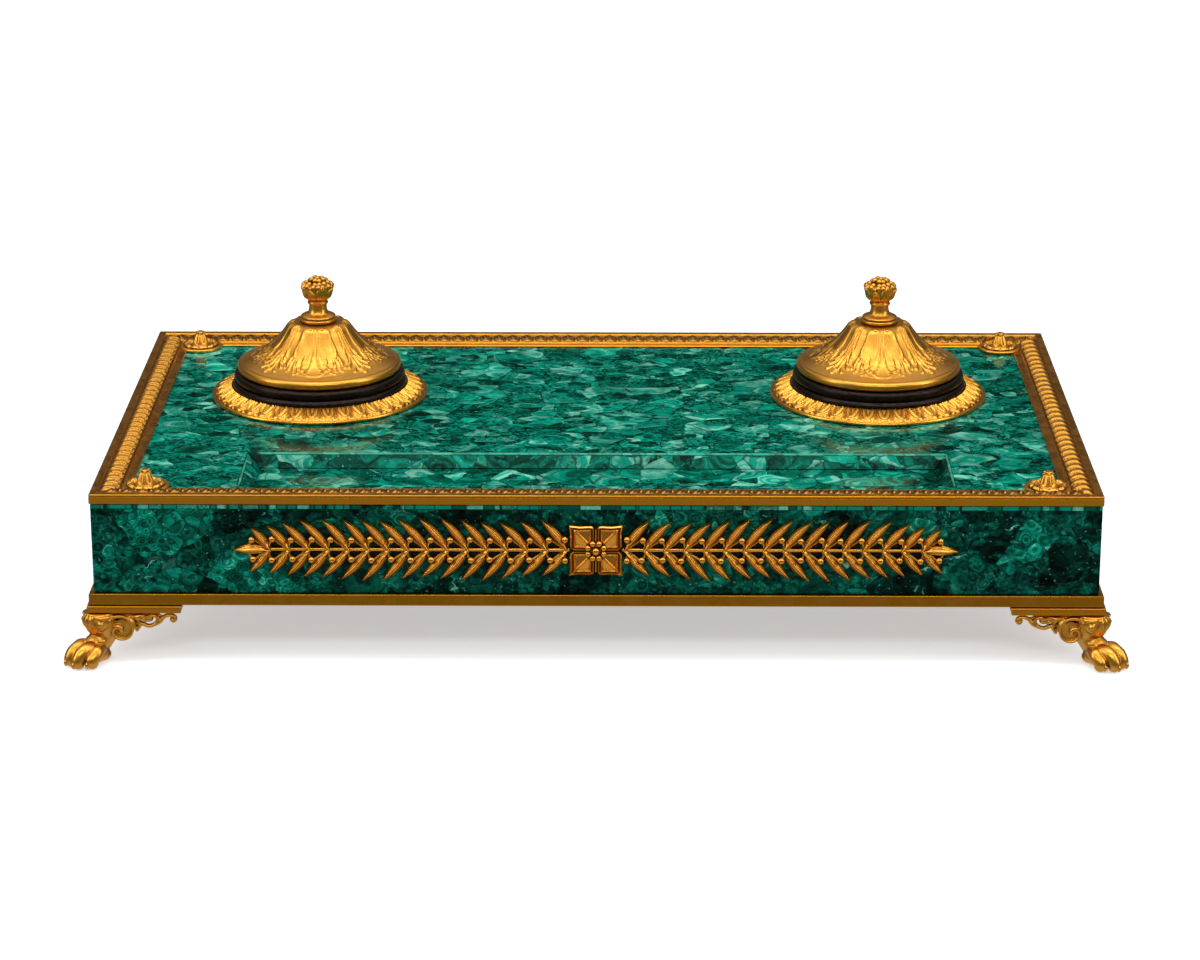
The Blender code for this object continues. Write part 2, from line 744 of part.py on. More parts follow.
def make_foot_mesh():
    """One foot, placed with the frame's corner at its origin and the case towards +X and +Y."""
    bm = bmesh.new()
    rings = [
        foot_ring(centre * hip_radius, along * hip_radius, across * hip_radius, height * foot_height, False)
        for centre, along, across, height in leg_ring_shares
    ]
    rings += [
        foot_ring(centre * paw_length + paw_reach - paw_length / 4, along * paw_length, across * paw_width,
                  height * foot_height, True)
        for centre, along, across, height in paw_ring_shares
    ]
    loft(bm, rings)
    foot = put("foot_pattern", bm, bronze, cutters)
    plate_low = (wing_setback + seat_gap, wing_setback + seat_gap, foot_height - seat_plate_thickness)
    plate_high = (seat_plate_size, seat_plate_size, foot_height)
    combine(foot, cutter("foot_seat_plate", box_bmesh(plate_low, plate_high)), "UNION")
    swap = Matrix(((0, 1, 0, 0), (1, 0, 0, 0), (0, 0, 1, 0), (0, 0, 0, 1)))
    for side, turn in (("x", None), ("y", swap)):
        disc = volute_bmesh(volute_radius * volute_disc_share, volute_relief, volute_sides)
        for tag, shape in (("wing", wing_bmesh()), ("volute", disc)):
            if turn:
                shape.transform(turn)
                bmesh.ops.reverse_faces(shape, faces=shape.faces)
            combine(foot, cutter(f"foot_{tag}_{side}", shape), "UNION")
    hole = rod_bmesh(screw_radius + screw_clearance, foot_height - seat_plate_thickness - cut_overrun,
                     foot_height + cut_overrun, screw_sides, (screw_inset, screw_inset))
    combine(foot, cutter("foot_screw_hole", hole), "DIFFERENCE")
    join_flats(foot)
    bpy.context.view_layer.update()
    mesh = evaluated_mesh(foot)
    foot.hide_render = True
    foot.display_type = "WIRE"
    return mesh


def make_feet():
    mesh = make_foot_mesh()
    for name, sx, sy, turn in corners():
        foot = put(f"foot_{name}", mesh, bronze)
        foot.location = (sx * frame_length / 2, sy * frame_depth / 2, 0)
        foot.rotation_euler.z = turn


def make_screws():
    head_bottom = base_board_top - screw_head_height
    tip = foot_height - seat_plate_thickness
    outline = ((0, base_board_top), (screw_head_radius, base_board_top), (screw_head_radius, head_bottom),
               (screw_radius, head_bottom), (screw_radius, tip), (0, tip))
    for (name, _, _, _), (x, y) in zip(corners(), screw_places()):
        turned(f"foot_screw_{name}", outline, screw_sides, steel).location = (x, y, 0)


def make_bosses():
    seat = slab_top + seat_gap
    bud_foot = seat + boss_leaf_height
    outline = [(radius * boss_bud_radius, bud_foot + height * boss_bud_height)
               for radius, height in boss_bud_shares]
    outline += [
        (boss_leaf_radius, bud_foot), (boss_leaf_radius + seat_gap, seat + boss_disc_height),
        (boss_radius, seat + boss_disc_height), (boss_radius, seat), (stud_radius, seat),
        (stud_radius, seat - boss_stud_length), (0, seat - boss_stud_length),
    ]
    for name, x, y in boss_places():
        turned(f"boss_{name}", outline, boss_facets, bronze).location = (x, y, 0)


def leaf_bmesh(length):
    """A pointed leaf along +X with a flat back at Y zero and a crest towards -Y."""
    bm = bmesh.new()
    half = leaf_width / 2
    upper = [bm.verts.new((x * length, 0, w * half)) for x, w in leaf_edge_shares]
    lower = [bm.verts.new((x * length, 0, -w * half)) for x, w in leaf_edge_shares]
    outline = upper + [bm.verts.new((length, 0, 0))] + lower[::-1]
    bm.faces.new(outline)
    raise_to(bm, outline, bm.verts.new((leaf_crest_share * length, -leaf_relief, 0)))
    bmesh.ops.recalc_face_normals(bm, faces=bm.faces)
    return bm


def berry_bmesh(radius, place):
    bm = bmesh.new()
    bmesh.ops.create_uvsphere(bm, u_segments=4, v_segments=2, radius=radius,
                              matrix=Matrix.Translation(place))
    return bm


def make_spray(name, side):
    """A laurel branch that runs from the rosette towards one end of the front."""
    back = -frame_depth / 2 + panel_setback - seat_gap
    level = trim_level()
    end = spray_start + spray_length()
    near, far = sorted((side * (rosette_size / 2 + seat_gap), side * end))
    spray = box(name, (near, back - stem_thickness, level - stem_width / 2),
                (far, back, level + stem_width / 2), bronze)
    pieces = []
    for i in range(leaf_pairs):
        foot = spray_start + i * leaf_pitch
        taper = 1 if i < leaf_pairs - 1 else end_leaf_share
        for updown in (1, -1):
            berry_place = (leaf_berry_shares[0] * leaf_length * taper, -berry_radius,
                           updown * leaf_berry_shares[1] * leaf_width / 2)
            place = Matrix.Translation((foot, back, level)) @ Matrix.Rotation(-updown * leaf_angle, 4, "Y")
            for shape in (leaf_bmesh(leaf_length * taper), berry_bmesh(berry_radius, berry_place)):
                shape.transform(place)
                pieces.append(shape)
    last = leaf_bmesh(leaf_length)
    last.transform(Matrix.Translation((end - stem_width, back, level)))
    pieces.append(last)
    for share in spray_pin_shares:
        x = spray_start + share * spray_length()
        pieces.append(pin_bmesh(pin_radius, x, back - stem_thickness / 2, back + pin_length))
    for i, piece in enumerate(pieces):
        if side < 0:
            piece.transform(Matrix.Scale(-1, 4, Vector((1, 0, 0))))
            bmesh.ops.reverse_faces(piece, faces=piece.faces)
        combine(spray, cutter(f"{name}_piece_{i}", piece), "UNION")
    join_flats(spray)


def pyramid_bmesh(half_foot, half_head, low, high, x, z):
    """A square block with sloping sides that stands out from the front, between two depths."""
    bm = bmesh.new()
    corner = math.sqrt(2)
    place = Matrix.Translation((x, 0, z)) @ Matrix.Rotation(math.pi / 2, 4, "X")
    place = place @ Matrix.Translation((0, 0, (low + high) / 2)) @ Matrix.Rotation(math.pi / 4, 4, "Z")
    bmesh.ops.create_cone(bm, cap_ends=True, segments=4, radius1=corner * half_foot,
                          radius2=corner * half_head, depth=high - low, matrix=place)
    return bm


def make_rosette():
    back = frame_depth / 2 - panel_setback + seat_gap
    level = trim_level()
    petal = rosette_size / 4
    petal_top = back + petal_thickness
    rosette = put("rosette", pyramid_bmesh(rosette_size / 2, rosette_size / 2, back,
                                           back + rosette_plate_thickness, 0, level), bronze)
    pieces = []
    for sx in (-1, 1):
        for sz in (-1, 1):
            x = sx * petal
            z = level + sz * petal
            pieces.append(pyramid_bmesh(petal * petal_foot_share, petal * petal_rim_share,
                                        back + rosette_plate_thickness / 2, petal_top, x, z))
            pieces.append(pyramid_bmesh(petal * petal_panel_share, 0, petal_top - petal_relief / 2,
                                        petal_top + petal_relief, x, z))
    pieces.append(berry_bmesh(rosette_eye_radius, (0, -petal_top - rosette_eye_radius / 4, level)))
    berry_front = -petal_top - rosette_berry_radius / 4
    for i in range(rosette_berry_count):
        angle = 2 * math.pi * (i + 1 / 2) / rosette_berry_count
        x = rosette_berry_circle * math.cos(angle)
        z = level + rosette_berry_circle * math.sin(angle)
        pieces.append(berry_bmesh(rosette_berry_radius, (x, berry_front, z)))
    for side in (-1, 1):
        pieces.append(pin_bmesh(pin_radius, side * rosette_size * rosette_pin_share,
                                -back - rosette_plate_thickness / 2, pin_length - back))
    for i, piece in enumerate(pieces):
        combine(rosette, cutter(f"rosette_piece_{i}", piece), "UNION")


def polar_row(bm, radius, height, count, offset=0.0):
    return [
        bm.verts.new((radius * math.cos(2 * math.pi * (i + offset) / count),
                      radius * math.sin(2 * math.pi * (i + offset) / count), height))
        for i in range(count)
    ]


def join_rows(bm, first, second):
    count = len(first)
    for i in range(count):
        j = (i + 1) % count
        bm.faces.new((first[i], first[j], second[j], second[i]))


def fan_rows(bm, fine, coarse):
    """Join a fine circle to a coarse one in the same plane, one many-sided face for each coarse side."""
    ratio = len(fine) // len(coarse)
    for i in range(len(coarse)):
        j = (i + 1) % len(coarse)
        edge = [fine[(i * ratio + k) % len(fine)] for k in range(ratio + 1)]
        bm.faces.new(edge + [coarse[j], coarse[i]])


def flange_bmesh():
    """Ring with a plain rim and a border of tongue leaves that climbs to the collar."""
    bm = bmesh.new()
    count = flange_leaf_count
    rim_top = flange_bottom + flange_rim_height
    lip_top = rim_top + flange_leaf_rise
    bottom_outer = polar_row(bm, flange_radius, flange_bottom, count)
    rim = polar_row(bm, flange_radius, rim_top, count)
    feet = polar_row(bm, flange_leaf_foot, rim_top, count)
    heads = polar_row(bm, flange_lip_radius, lip_top, count)
    crest_height = rim_top + flange_crest_share * flange_leaf_rise + flange_leaf_relief
    crest_radius = flange_leaf_foot - flange_crest_share * flange_leaf_run
    crests = polar_row(bm, crest_radius, crest_height, count, 1 / 2)
    for i in range(count):
        j = (i + 1) % count
        raise_to(bm, [feet[i], feet[j], heads[j], heads[i]], crests[i])
    lip_foot = polar_row(bm, flange_lip_radius, flange_seat, count)
    bore_sides = count // 3
    bore = flange_bore / math.cos(math.pi / bore_sides)
    bore_top = polar_row(bm, bore, flange_seat, bore_sides)
    bore_bottom = polar_row(bm, bore, flange_bottom, bore_sides)
    join_rows(bm, bottom_outer, rim)
    join_rows(bm, rim, feet)
    join_rows(bm, heads, lip_foot)
    fan_rows(bm, lip_foot, bore_top)
    join_rows(bm, bore_top, bore_bottom)
    fan_rows(bm, bottom_outer, bore_bottom)
    bmesh.ops.recalc_face_normals(bm, faces=bm.faces)
    return bm


def collar_outline():
    def rounds(shares, radius):
        return [(collar_waist + out * (radius - collar_waist), collar_bottom + up * collar_height)
                for out, up in shares]
    outer = rounds(collar_round_shares, collar_upper_radius) + rounds(collar_foot_shares, collar_radius)
    return outer + [(collar_bore, collar_bottom), (collar_bore, collar_top)]


def liner_outline():
    liner_bottom = slab_top - liner_depth
    return (
        (liner_lip_radius, liner_top), (liner_lip_radius, liner_lip_bottom),
        (liner_radius, liner_lip_bottom), (liner_radius, liner_bottom),
        (liner_bore, liner_bottom), (liner_bore, liner_top),
    )


def pot_outline():
    inner = pot_radius - pot_wall
    floor = pot_bottom + pot_base_thickness
    return (
        (0, floor), (inner, floor), (inner, pot_rim_top), (pot_rim_radius, pot_rim_top),
        (pot_rim_radius, pot_rim_bottom), (pot_radius, pot_rim_bottom), (pot_radius, pot_bottom),
        (0, pot_bottom),
    )


def offset_inwards(outline, places, distance):
    """Shift some points of an outline by one wall, square to the line through their neighbours."""
    shifted = []
    for i in places:
        along = (Vector(outline[i + 1]) - Vector(outline[i - 1])).normalized()
        shifted.append((outline[i][0] + along.y * distance, outline[i][1] - along.x * distance))
    return shifted


def lid_outline():
    outer = [(radius * lid_radius, lid_bottom + height * lid_rise) for radius, height in lid_outline_shares]
    hole = stud_radius + stud_clearance
    crown = [(hole, lid_top)] + outer
    spigot_bottom = lid_bottom - lid_spigot_depth
    spigot_bore = lid_spigot_radius - lid_spigot_wall
    inner = offset_inwards(crown, lid_inner_places, lid_wall)
    shoulder = inner[-1][1] - lid_wall / 2
    under = [(lid_spigot_radius, lid_bottom), (lid_spigot_radius, spigot_bottom),
             (spigot_bore, spigot_bottom), (spigot_bore, shoulder)]
    return crown + under + inner[::-1] + [(hole, lid_top - lid_wall)]


def lid_relief(point):
    """Swell the dome into leaves: ridges at each leaf's middle, valleys between leaves."""
    radius = math.hypot(point.x, point.y)
    share = radius / lid_radius
    lowest = lid_bottom + lid_wall
    if not lid_leaf_start_share < share < lid_leaf_end_share or point.z < lowest:
        return point
    outer_height = lid_height_at(share)
    if point.z < outer_height - lid_wall / 2:
        return point
    leaf_share = lid_leaf_end_share - lid_leaf_start_share
    window = math.sin(math.pi * (share - lid_leaf_start_share) / leaf_share)
    wave = math.cos(lid_leaf_count * math.atan2(point.y, point.x))
    scale = 1 + wave * window * lid_leaf_relief / radius
    return Vector((point.x * scale, point.y * scale, point.z + wave * window * lid_leaf_relief / 2))


def lid_height_at(share):
    """Height of the lid's outer line at a share of its radius."""
    for (r0, h0), (r1, h1) in zip(lid_outline_shares, lid_outline_shares[1:]):
        if r0 <= share <= r1:
            return lid_bottom + lid_rise * (h0 + (h1 - h0) * (share - r0) / (r1 - r0))
    return lid_top


def finial_outline():
    outline = [(radius * finial_bulb_radius, finial_bottom + height * finial_height)
               for radius, height in finial_outline_shares]
    stud_end = lid_top - lid_wall - seat_gap - nut_thickness - stud_reach / 4
    return outline + [(stud_radius, finial_bottom), (stud_radius, stud_end), (0, stud_end)]


def finial_relief(point):
    """Lobe the bulb above its neck."""
    share = (point.z - finial_bottom) / finial_height
    neck_share = finial_outline_shares[5][1]
    radius = math.hypot(point.x, point.y)
    if share <= neck_share or radius < stud_radius:
        return point
    wave = math.cos(finial_lobe_count * math.atan2(point.y, point.x))
    scale = 1 + wave * finial_lobe_relief / radius
    return Vector((point.x * scale, point.y * scale, point.z))


def nut_outline():
    top = lid_top - lid_wall - seat_gap
    bore = stud_radius + stud_clearance
    return ((nut_radius, top), (nut_radius, top - nut_thickness), (bore, top - nut_thickness), (bore, top))


def make_wells():
    for side, sign in (("left", -1), ("right", 1)):
        place = (sign * well_x, well_set_back, 0)
        put(f"well_flange_{side}", flange_bmesh(), bronze).location = place
        turned(f"well_liner_{side}", liner_outline(), well_facets, brass, closed=True).location = place
        turned(f"well_collar_{side}", collar_outline(), well_facets, patina, closed=True).location = place
        turned(f"ink_pot_{side}", pot_outline(), well_facets, glass).location = place
        lid = turned(f"lid_{side}", lid_outline(), well_facets, bronze, closed=True)
        carve(lid, lid_relief).location = place
        finial = turned(f"finial_{side}", finial_outline(), 2 * finial_lobe_count, bronze)
        carve(finial, finial_relief).location = place
        turned(f"finial_nut_{side}", nut_outline(), nut_sides, brass, closed=True).location = place


empty_scene()
part = new_collection("desk_inkstand")
cutters = new_collection("cutters")
malachite = finish("malachite", (0.01, 0.19, 0.12), 0.15)
bronze = finish("gilt_bronze", (0.72, 0.43, 0.12), 0.3, metallic=1.0)
bronze_dull = finish("gilt_bronze_dull", (0.42, 0.24, 0.06), 0.42, metallic=1.0)
patina = finish("black_patina", (0.012, 0.009, 0.008), 0.32, metallic=0.6)
brass = finish("brass", (0.62, 0.44, 0.16), 0.35, metallic=1.0)
steel = finish("steel", (0.45, 0.44, 0.42), 0.35, metallic=1.0)
wood = finish("carcass_wood", (0.24, 0.13, 0.06), 0.7)
glass = finish("glass", (0.85, 0.92, 0.9), 0.05, transmission=0.9)

make_carcass()
make_top()
make_tray()
make_panels()
make_frame()
make_base_moulding()
make_plinths()
make_feet()
make_screws()
make_bosses()
make_spray("laurel_left", -1)
make_spray("laurel_right", 1)
make_rosette()
make_wells()
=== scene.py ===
# Desk inkstand, dressed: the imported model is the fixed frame, and modelled gilt mounts and polished
# malachite are laid over it. Metres, +Z up, the front faces -Y.
import math

import bmesh
import bpy
import numpy as np
from bpy.props import FloatProperty, FloatVectorProperty, IntProperty, PointerProperty
from bpy.types import Operator, Panel, PropertyGroup
from mathutils import Matrix, Vector


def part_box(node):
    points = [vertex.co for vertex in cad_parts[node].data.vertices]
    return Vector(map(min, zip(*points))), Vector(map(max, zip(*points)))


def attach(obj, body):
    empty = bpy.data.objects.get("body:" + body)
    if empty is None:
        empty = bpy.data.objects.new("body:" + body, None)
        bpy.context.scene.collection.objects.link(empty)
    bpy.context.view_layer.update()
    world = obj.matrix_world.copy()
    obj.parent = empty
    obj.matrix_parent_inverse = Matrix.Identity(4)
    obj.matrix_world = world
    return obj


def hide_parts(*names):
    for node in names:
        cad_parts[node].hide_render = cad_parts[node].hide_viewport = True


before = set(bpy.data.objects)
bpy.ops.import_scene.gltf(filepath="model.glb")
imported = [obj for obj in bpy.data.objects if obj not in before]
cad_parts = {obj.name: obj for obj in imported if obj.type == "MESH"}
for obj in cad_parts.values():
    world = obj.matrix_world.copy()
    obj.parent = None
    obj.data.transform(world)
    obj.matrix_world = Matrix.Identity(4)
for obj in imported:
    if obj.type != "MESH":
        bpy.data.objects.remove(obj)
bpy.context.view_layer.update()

bl_info = {
    "name": "Desk inkstand looks",
    "version": (1, 0, 0),
    "blender": (4, 5, 0),
    "location": "View3D > Sidebar > Inkstand",
    "description": "Gilt bronze mounts, malachite skins and a plain stage for a desk inkstand",
    "category": "Object",
}

MM = 0.001
TURN = 2 * math.pi
QUARTER = math.pi / 2
AXIS = 0.03  # radius in millimetres of a turned form's closed end
PROUD = 0.0003  # how far laid-on pieces stand off the stone
LAP = 0.0005  # how far the base and the feet stand off the case
CREST = 0.42  # share across the ribbed band where the ribs stand highest
RIB_STEPS = 18  # steps along one rib of the frame
TONGUE_STEPS = 26  # steps round one leaf of a flange
FLANGE_BORE, FLANGE_LIP = 0.0349, 0.0397  # radii of a flange's hole and of its inner edge
COLLAR_BORE = 0.0333  # radius of the hole in a collar
FRAME_TOP = 0.0517  # height of the frame's edge over the undersides of the plinths
LID_STEPS = 414  # a lid's steps round, the most that an STL of it takes whole
COLOUR = "NodeSocketColor"
VALUE = "NodeSocketFloat"
VECTOR = "NodeSocketVector"
OUTPUTS = {"Colour": COLOUR, "Roughness": VALUE, "Height": VALUE}
CORNERS = {
    "front_left": (-1, -1, 0), "front_right": (1, -1, QUARTER),
    "back_right": (1, 1, math.pi), "back_left": (-1, 1, -QUARTER),
}


# Sizes and colours that a user would change

def colour(name, description, default):
    return FloatVectorProperty(name=name, description=description, default=default, subtype="COLOR",
                               min=0, max=1)


def length(name, description, default):
    return FloatProperty(name=name, description=description, default=default, unit="LENGTH",
                         precision=4, min=0)


def share(name, description, default):
    return FloatProperty(name=name, description=description, default=default, subtype="FACTOR",
                         min=0, max=1)


def power(name, description, default):
    return FloatProperty(name=name, description=description, default=default, unit="POWER")


class InkstandGilt(PropertyGroup):
    gold: colour("Gold", "Burnished gilding on the high places", (0.86, 0.40, 0.05))
    tarnish: colour("Tarnish", "Thinner, browner gilding", (0.58, 0.26, 0.03))
    # The grime colour is partly old dirt and partly painted shade, laid into the recesses that an ambient
    # occlusion node finds.
    grime_and_shade: colour("Dirt And Shade", "Old dirt in the recesses", (0.1, 0.055, 0.01))
    # The ribbed gilding is darker than the rest as painted shade, standing in for the dimmer light on the
    # rails.
    ribbed: colour("Ribbed gilding", "Gilding on the frame's ribs", (0.46, 0.2, 0.022))
    plain: colour("Plain gilding", "Gilding on the flat bars", (0.67, 0.27, 0.007))
    # The recess size is also how far that painted shade reaches into a hollow.
    recess: length("Recess size", "How wide a hollow still gathers dirt", 0.002)
    mottle: length("Mottle size", "Width of the blotches in the gilding", 0.006)
    roughness: share("Roughness", "Sheen of the burnished gilding", 0.3)


class InkstandStone(PropertyGroup):
    dark: colour("Dark band", "Darkest malachite", (0.0, 0.018, 0.012))
    mid: colour("Middle band", "Middle malachite", (0.0, 0.11, 0.065))
    light: colour("Light band", "Bright teal malachite", (0.002, 0.32, 0.21))
    pale: colour("Pale band", "Chalky pale malachite", (0.2, 0.62, 0.45))
    piece: length("Piece size", "Width of one cut of veneer", 0.017)
    eye: length("Eye size", "Width of one eye of the stone on the top", 0.0062)
    eye_front: length("Eye size, sides", "Width of one eye of the stone on the sides", 0.0095)


class InkstandRails(PropertyGroup):
    edge: length("Edge flat", "Plain flat at the frame's outer edge", 0.0031)
    band: length("Gadroon band", "Width of the ribbed band", 0.0079)
    rise: length("Gadroon rise", "Height of a rib over its band", 0.00117)
    pitch: length("Gadroon pitch", "Distance from rib to rib", 0.0066)
    fillet: length("Inner fillet", "Width from the bead to the slab", 0.0043)


class InkstandWells(PropertyGroup):
    tongues: IntProperty(name="Flange leaves", description="Tongue leaves round one flange",
                         default=38, min=12, max=80)
    lid_relief: length("Lid relief", "How far the lid's leaves stand up", 0.00055)
    tongue_relief: length("Flange relief", "How far the tongues' edges stand up", 0.0007)


class InkstandTrim(PropertyGroup):
    pairs: IntProperty(name="Leaf pairs", description="Pairs of leaves on one spray", default=16,
                       min=4, max=40)
    pitch: length("Leaf pitch", "Distance from pair to pair", 0.008)
    leaf: length("Leaf length", "Length of one laurel leaf", 0.0178)
    width: length("Leaf width", "Width of one laurel leaf", 0.0039)
    berry: length("Berry radius", "Radius of one berry", 0.00145)


class InkstandFeet(PropertyGroup):
    toe: length("Toe radius", "Thickness of a toe", 0.0028)
    voxel: length("Casting grain", "Fineness of the cast surface", 0.00024)


class InkstandStage(PropertyGroup):
    floor: colour("Floor", "Pale studio floor", (0.865, 0.905, 0.93))
    glow: share("Floor glow", "Light that the paper floor gives off by itself", 0.5)
    lens: FloatProperty(name="Lens", description="Camera lens", default=107.1, unit="CAMERA")
    key: power("Top light", "Power of the large top light", 9.5)
    front: power("Front light", "Power of the long light over the camera", 6.5)
    side: power("Side lights", "Power of each side light", 5)


# Points and meshes

def spline(points, steps):
    """Sample a smooth line through some points, of any number of coordinates."""
    points = np.asarray(points, float)
    ends = np.vstack([2 * points[0] - points[1], points, 2 * points[-1] - points[-2]])
    spot = np.linspace(0, len(points) - 1, steps)
    cell = np.clip(spot.astype(int), 0, len(points) - 2)
    t = (spot - cell)[:, None]
    a, b, c, d = (ends[cell + k] for k in range(4))
    cubic = 3 * b - a - 3 * c + d
    return 0.5 * (2 * b + (c - a) * t + (2 * a - 5 * b + 4 * c - d) * t**2 + cubic * t**3)


def fine_line(points, spacing):
    """Cut a bent line into short steps, with its corners kept."""
    points = np.asarray(points, float)
    line = [points[:1]]
    for a, b in zip(points, points[1:]):
        count = max(1, math.ceil(np.linalg.norm(b - a) / spacing))
        line.append(a + (b - a) * (np.arange(1, count + 1) / count)[:, None])
    return np.vstack(line)


def mm(points, side=0.0, base=0.0):
    """Points given in millimetres from a side and over a base, in metres."""
    return np.array(points) * MM + (side, base)


def curve(points, steps, side=0.0, base=0.0):
    """A smooth line through such points."""
    return spline(mm(points, side, base), steps)


def moved(points, matrix):
    turn = np.array(matrix)
    return points @ turn[:3, :3].T + turn[:3, 3]


def hump(value, middle, width):
    """A smooth bump of height 1 round a middle value."""
    return np.exp(-((value - middle) / width) ** 2)


def ease(value, low, high):
    """Smooth step from 0 at low to 1 at high."""
    t = np.clip((value - low) / (high - low), 0, 1)
    return t * t * (3 - 2 * t)


class Skin:
    """Gathers grids of points into one mesh."""

    def __init__(self):
        self.points = []
        self.faces = []
        self.tags = []
        self.count = 0

    def grid(self, rows, wrap_rows=False, wrap=False, caps=False, tags=None):
        """Skin rows of points. Tags give each column of faces its material."""
        rows = np.asarray(rows, float)
        tall, wide = rows.shape[:2]
        index = np.arange(tall * wide).reshape(tall, wide) + self.count
        ends = [index[0].tolist(), index[-1].tolist()]
        if wrap:
            index = np.concatenate([index, index[:, :1]], 1)
        if wrap_rows:
            index = np.concatenate([index, index[:1]], 0)
        quads = np.stack([index[:-1, :-1], index[1:, :-1], index[1:, 1:], index[:-1, 1:]], -1)
        self.faces += quads.reshape(-1, 4).tolist()
        tags = np.zeros(quads.shape[1], int) if tags is None else np.asarray(tags)
        self.tags += np.tile(tags, quads.shape[0]).tolist()
        if caps:
            self.faces += ends
            self.tags += [0, 0]
        self.points.append(rows.reshape(-1, 3))
        self.count += tall * wide
        return self

    def join(self, other, matrix):
        """Add a moved copy of another skin."""
        self.points += [moved(p, matrix) for p in other.points]
        self.faces += [[i + self.count for i in face] for face in other.faces]
        self.tags += other.tags
        self.count += other.count

    def transformed(self, matrix):
        """Move every point gathered so far."""
        self.points = [moved(p, matrix) for p in self.points]
        return self

    def mesh(self, name, crease=math.radians(42)):
        mesh = bpy.data.meshes.new(name)
        mesh.from_pydata(np.vstack(self.points).tolist(), [], self.faces)
        mesh.polygons.foreach_set("material_index", self.tags)
        bm = bmesh.new()
        bm.from_mesh(mesh)
        bmesh.ops.recalc_face_normals(bm, faces=bm.faces)
        bm.to_mesh(mesh)
        bm.free()
        mesh.shade_smooth()
        mesh.set_sharp_from_angle(angle=crease)
        return mesh


def ring_rows(outline, steps, relief=None):
    """Turn a line of (radius, height) points round Z. The relief moves points by radius and height."""
    outline = np.asarray(outline, float)
    angle = np.arange(steps) * TURN / steps
    radius, theta = np.meshgrid(outline[:, 0], angle, indexing="ij")
    height = np.repeat(outline[:, 1:2], steps, 1)
    if relief:
        radius, height = relief(radius, height, theta)
    return np.stack([radius * np.cos(theta), radius * np.sin(theta), height], -1)


def strokes(x, y, lines):
    """Height share of raised lines on a flat. A line is (points, widths, heights), each smoothed along
    it."""
    height = np.zeros_like(x)
    for points, widths, heights in lines:
        count = max(2, 4 * (len(points) - 1) + 1)
        line = spline(points, count) if len(points) > 2 else np.linspace(points[0], points[1], count)
        at = np.linspace(0, 1, count)
        wide = np.interp(at, np.linspace(0, 1, len(widths)), widths)
        tall = np.interp(at, np.linspace(0, 1, len(heights)), heights)
        for i in range(count - 1):
            a, step = line[i], line[i + 1] - line[i]
            t = ((x - a[0]) * step[0] + (y - a[1]) * step[1]) / max(step @ step, 1e-12)
            t = np.clip(t, 0, 1)
            away = (x - a[0] - t * step[0]) ** 2 + (y - a[1] - t * step[1]) ** 2
            w = wide[i] + (wide[i + 1] - wide[i]) * t
            h = tall[i] + (tall[i + 1] - tall[i]) * t
            height = np.maximum(height, h * np.exp(-away / w**2))
    return height


def bar(skin, points, radii, sides=14, steps=22, deep=1.0):
    """A closed round bar through some points, with its own thickness at each and rounded ends."""
    line = spline(np.column_stack([points, radii]), steps)
    centre = line[:, :3]
    radius = np.maximum(line[:, 3], 1e-5)
    along = np.gradient(centre, axis=0)
    along /= np.linalg.norm(along, axis=1)[:, None]
    start = np.cross(along[0], (0.31, 0.17, 0.93))
    side = [start / np.linalg.norm(start)]
    for direction in along[1:]:
        near = side[-1] - direction * np.dot(side[-1], direction)
        side.append(near / np.linalg.norm(near))
    side = np.array(side)
    other = np.cross(along, side)
    tip = np.radians([78, 48, 20])
    first = [(0, -math.sin(a), math.cos(a)) for a in tip]
    last = [(-1, math.sin(a), math.cos(a)) for a in tip[::-1]]
    rings = first + [(i, 0, 1) for i in range(steps)] + last
    angle = np.arange(sides) * TURN / sides
    stretch = np.array((1, deep, 1))
    rows = []
    for i, push, size in rings:
        spoke = (np.cos(angle)[:, None] * side[i] + np.sin(angle)[:, None] * other[i]) * stretch
        rows.append(centre[i] + along[i] * push * radius[i] + spoke * size * radius[i])
    skin.grid(np.array(rows), wrap=True, caps=True)


def ball(skin, centre, radii, turn=0.0, rows=14, steps=22):
    """A closed oval ball. Its turn is round Z."""
    tilt = np.linspace(0.04, math.pi - 0.04, rows)[:, None]
    angle = (np.arange(steps) * TURN / steps)[None]
    x = np.sin(tilt) * np.cos(angle) * radii[0]
    y = np.sin(tilt) * np.sin(angle) * radii[1]
    z = np.cos(tilt) * radii[2] + 0 * angle
    c, s = math.cos(turn), math.sin(turn)
    points = np.stack([x * c - y * s, x * s + y * c, z], -1) + np.asarray(centre)
    skin.grid(points, wrap=True, caps=True)


def place(name, mesh, materials, nodes, body="stand"):
    """Make a piece that rides on a body and stands for some CAD nodes."""
    thing = bpy.data.objects.new(name, mesh)
    bpy.context.scene.collection.objects.link(thing)
    for material in materials:
        thing.data.materials.append(bpy.data.materials[material])
    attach(thing, body)
    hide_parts(*nodes)


def lay(name, side, skin, node, slot, *materials, body="stand"):
    """Make a skin into the piece of one side, in place of that side's node."""
    place(f"{name}_{side}", skin.mesh(name), materials, (f"{node}_{side}",), body)


def sides_of_case(half_x, half_y):
    """Name, length and placing of the four sides of a rectangle of bars, seen from its middle."""
    for side, half, x, y, turn in (
        ("front", half_x, 0, -half_y, 0), ("back", half_x, 0, half_y, math.pi),
        ("left", half_y, -half_x, 0, -QUARTER), ("right", half_y, half_x, 0, QUARTER),
    ):
        yield side, 2 * half, Matrix.Translation((x, y, 0)) @ Matrix.Rotation(turn, 4, "Z")


def mitred(full, insets, steps, gap):
    """How far along a bar each point of its section lies at each step, with both ends mitred."""
    t = np.linspace(0, 1, steps + 1)[:, None]
    return (-full / 2 + insets[None] + gap) * (1 - 2 * t)


def node_middle(name):
    low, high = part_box(name)
    return (low + high) / 2


def half_wide(name):
    low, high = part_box(name)
    return (high.x - low.x) / 2


def over(name):
    """The move from the origin to a node's middle, along the floor."""
    return Matrix.Translation((*node_middle(name).xy, 0))


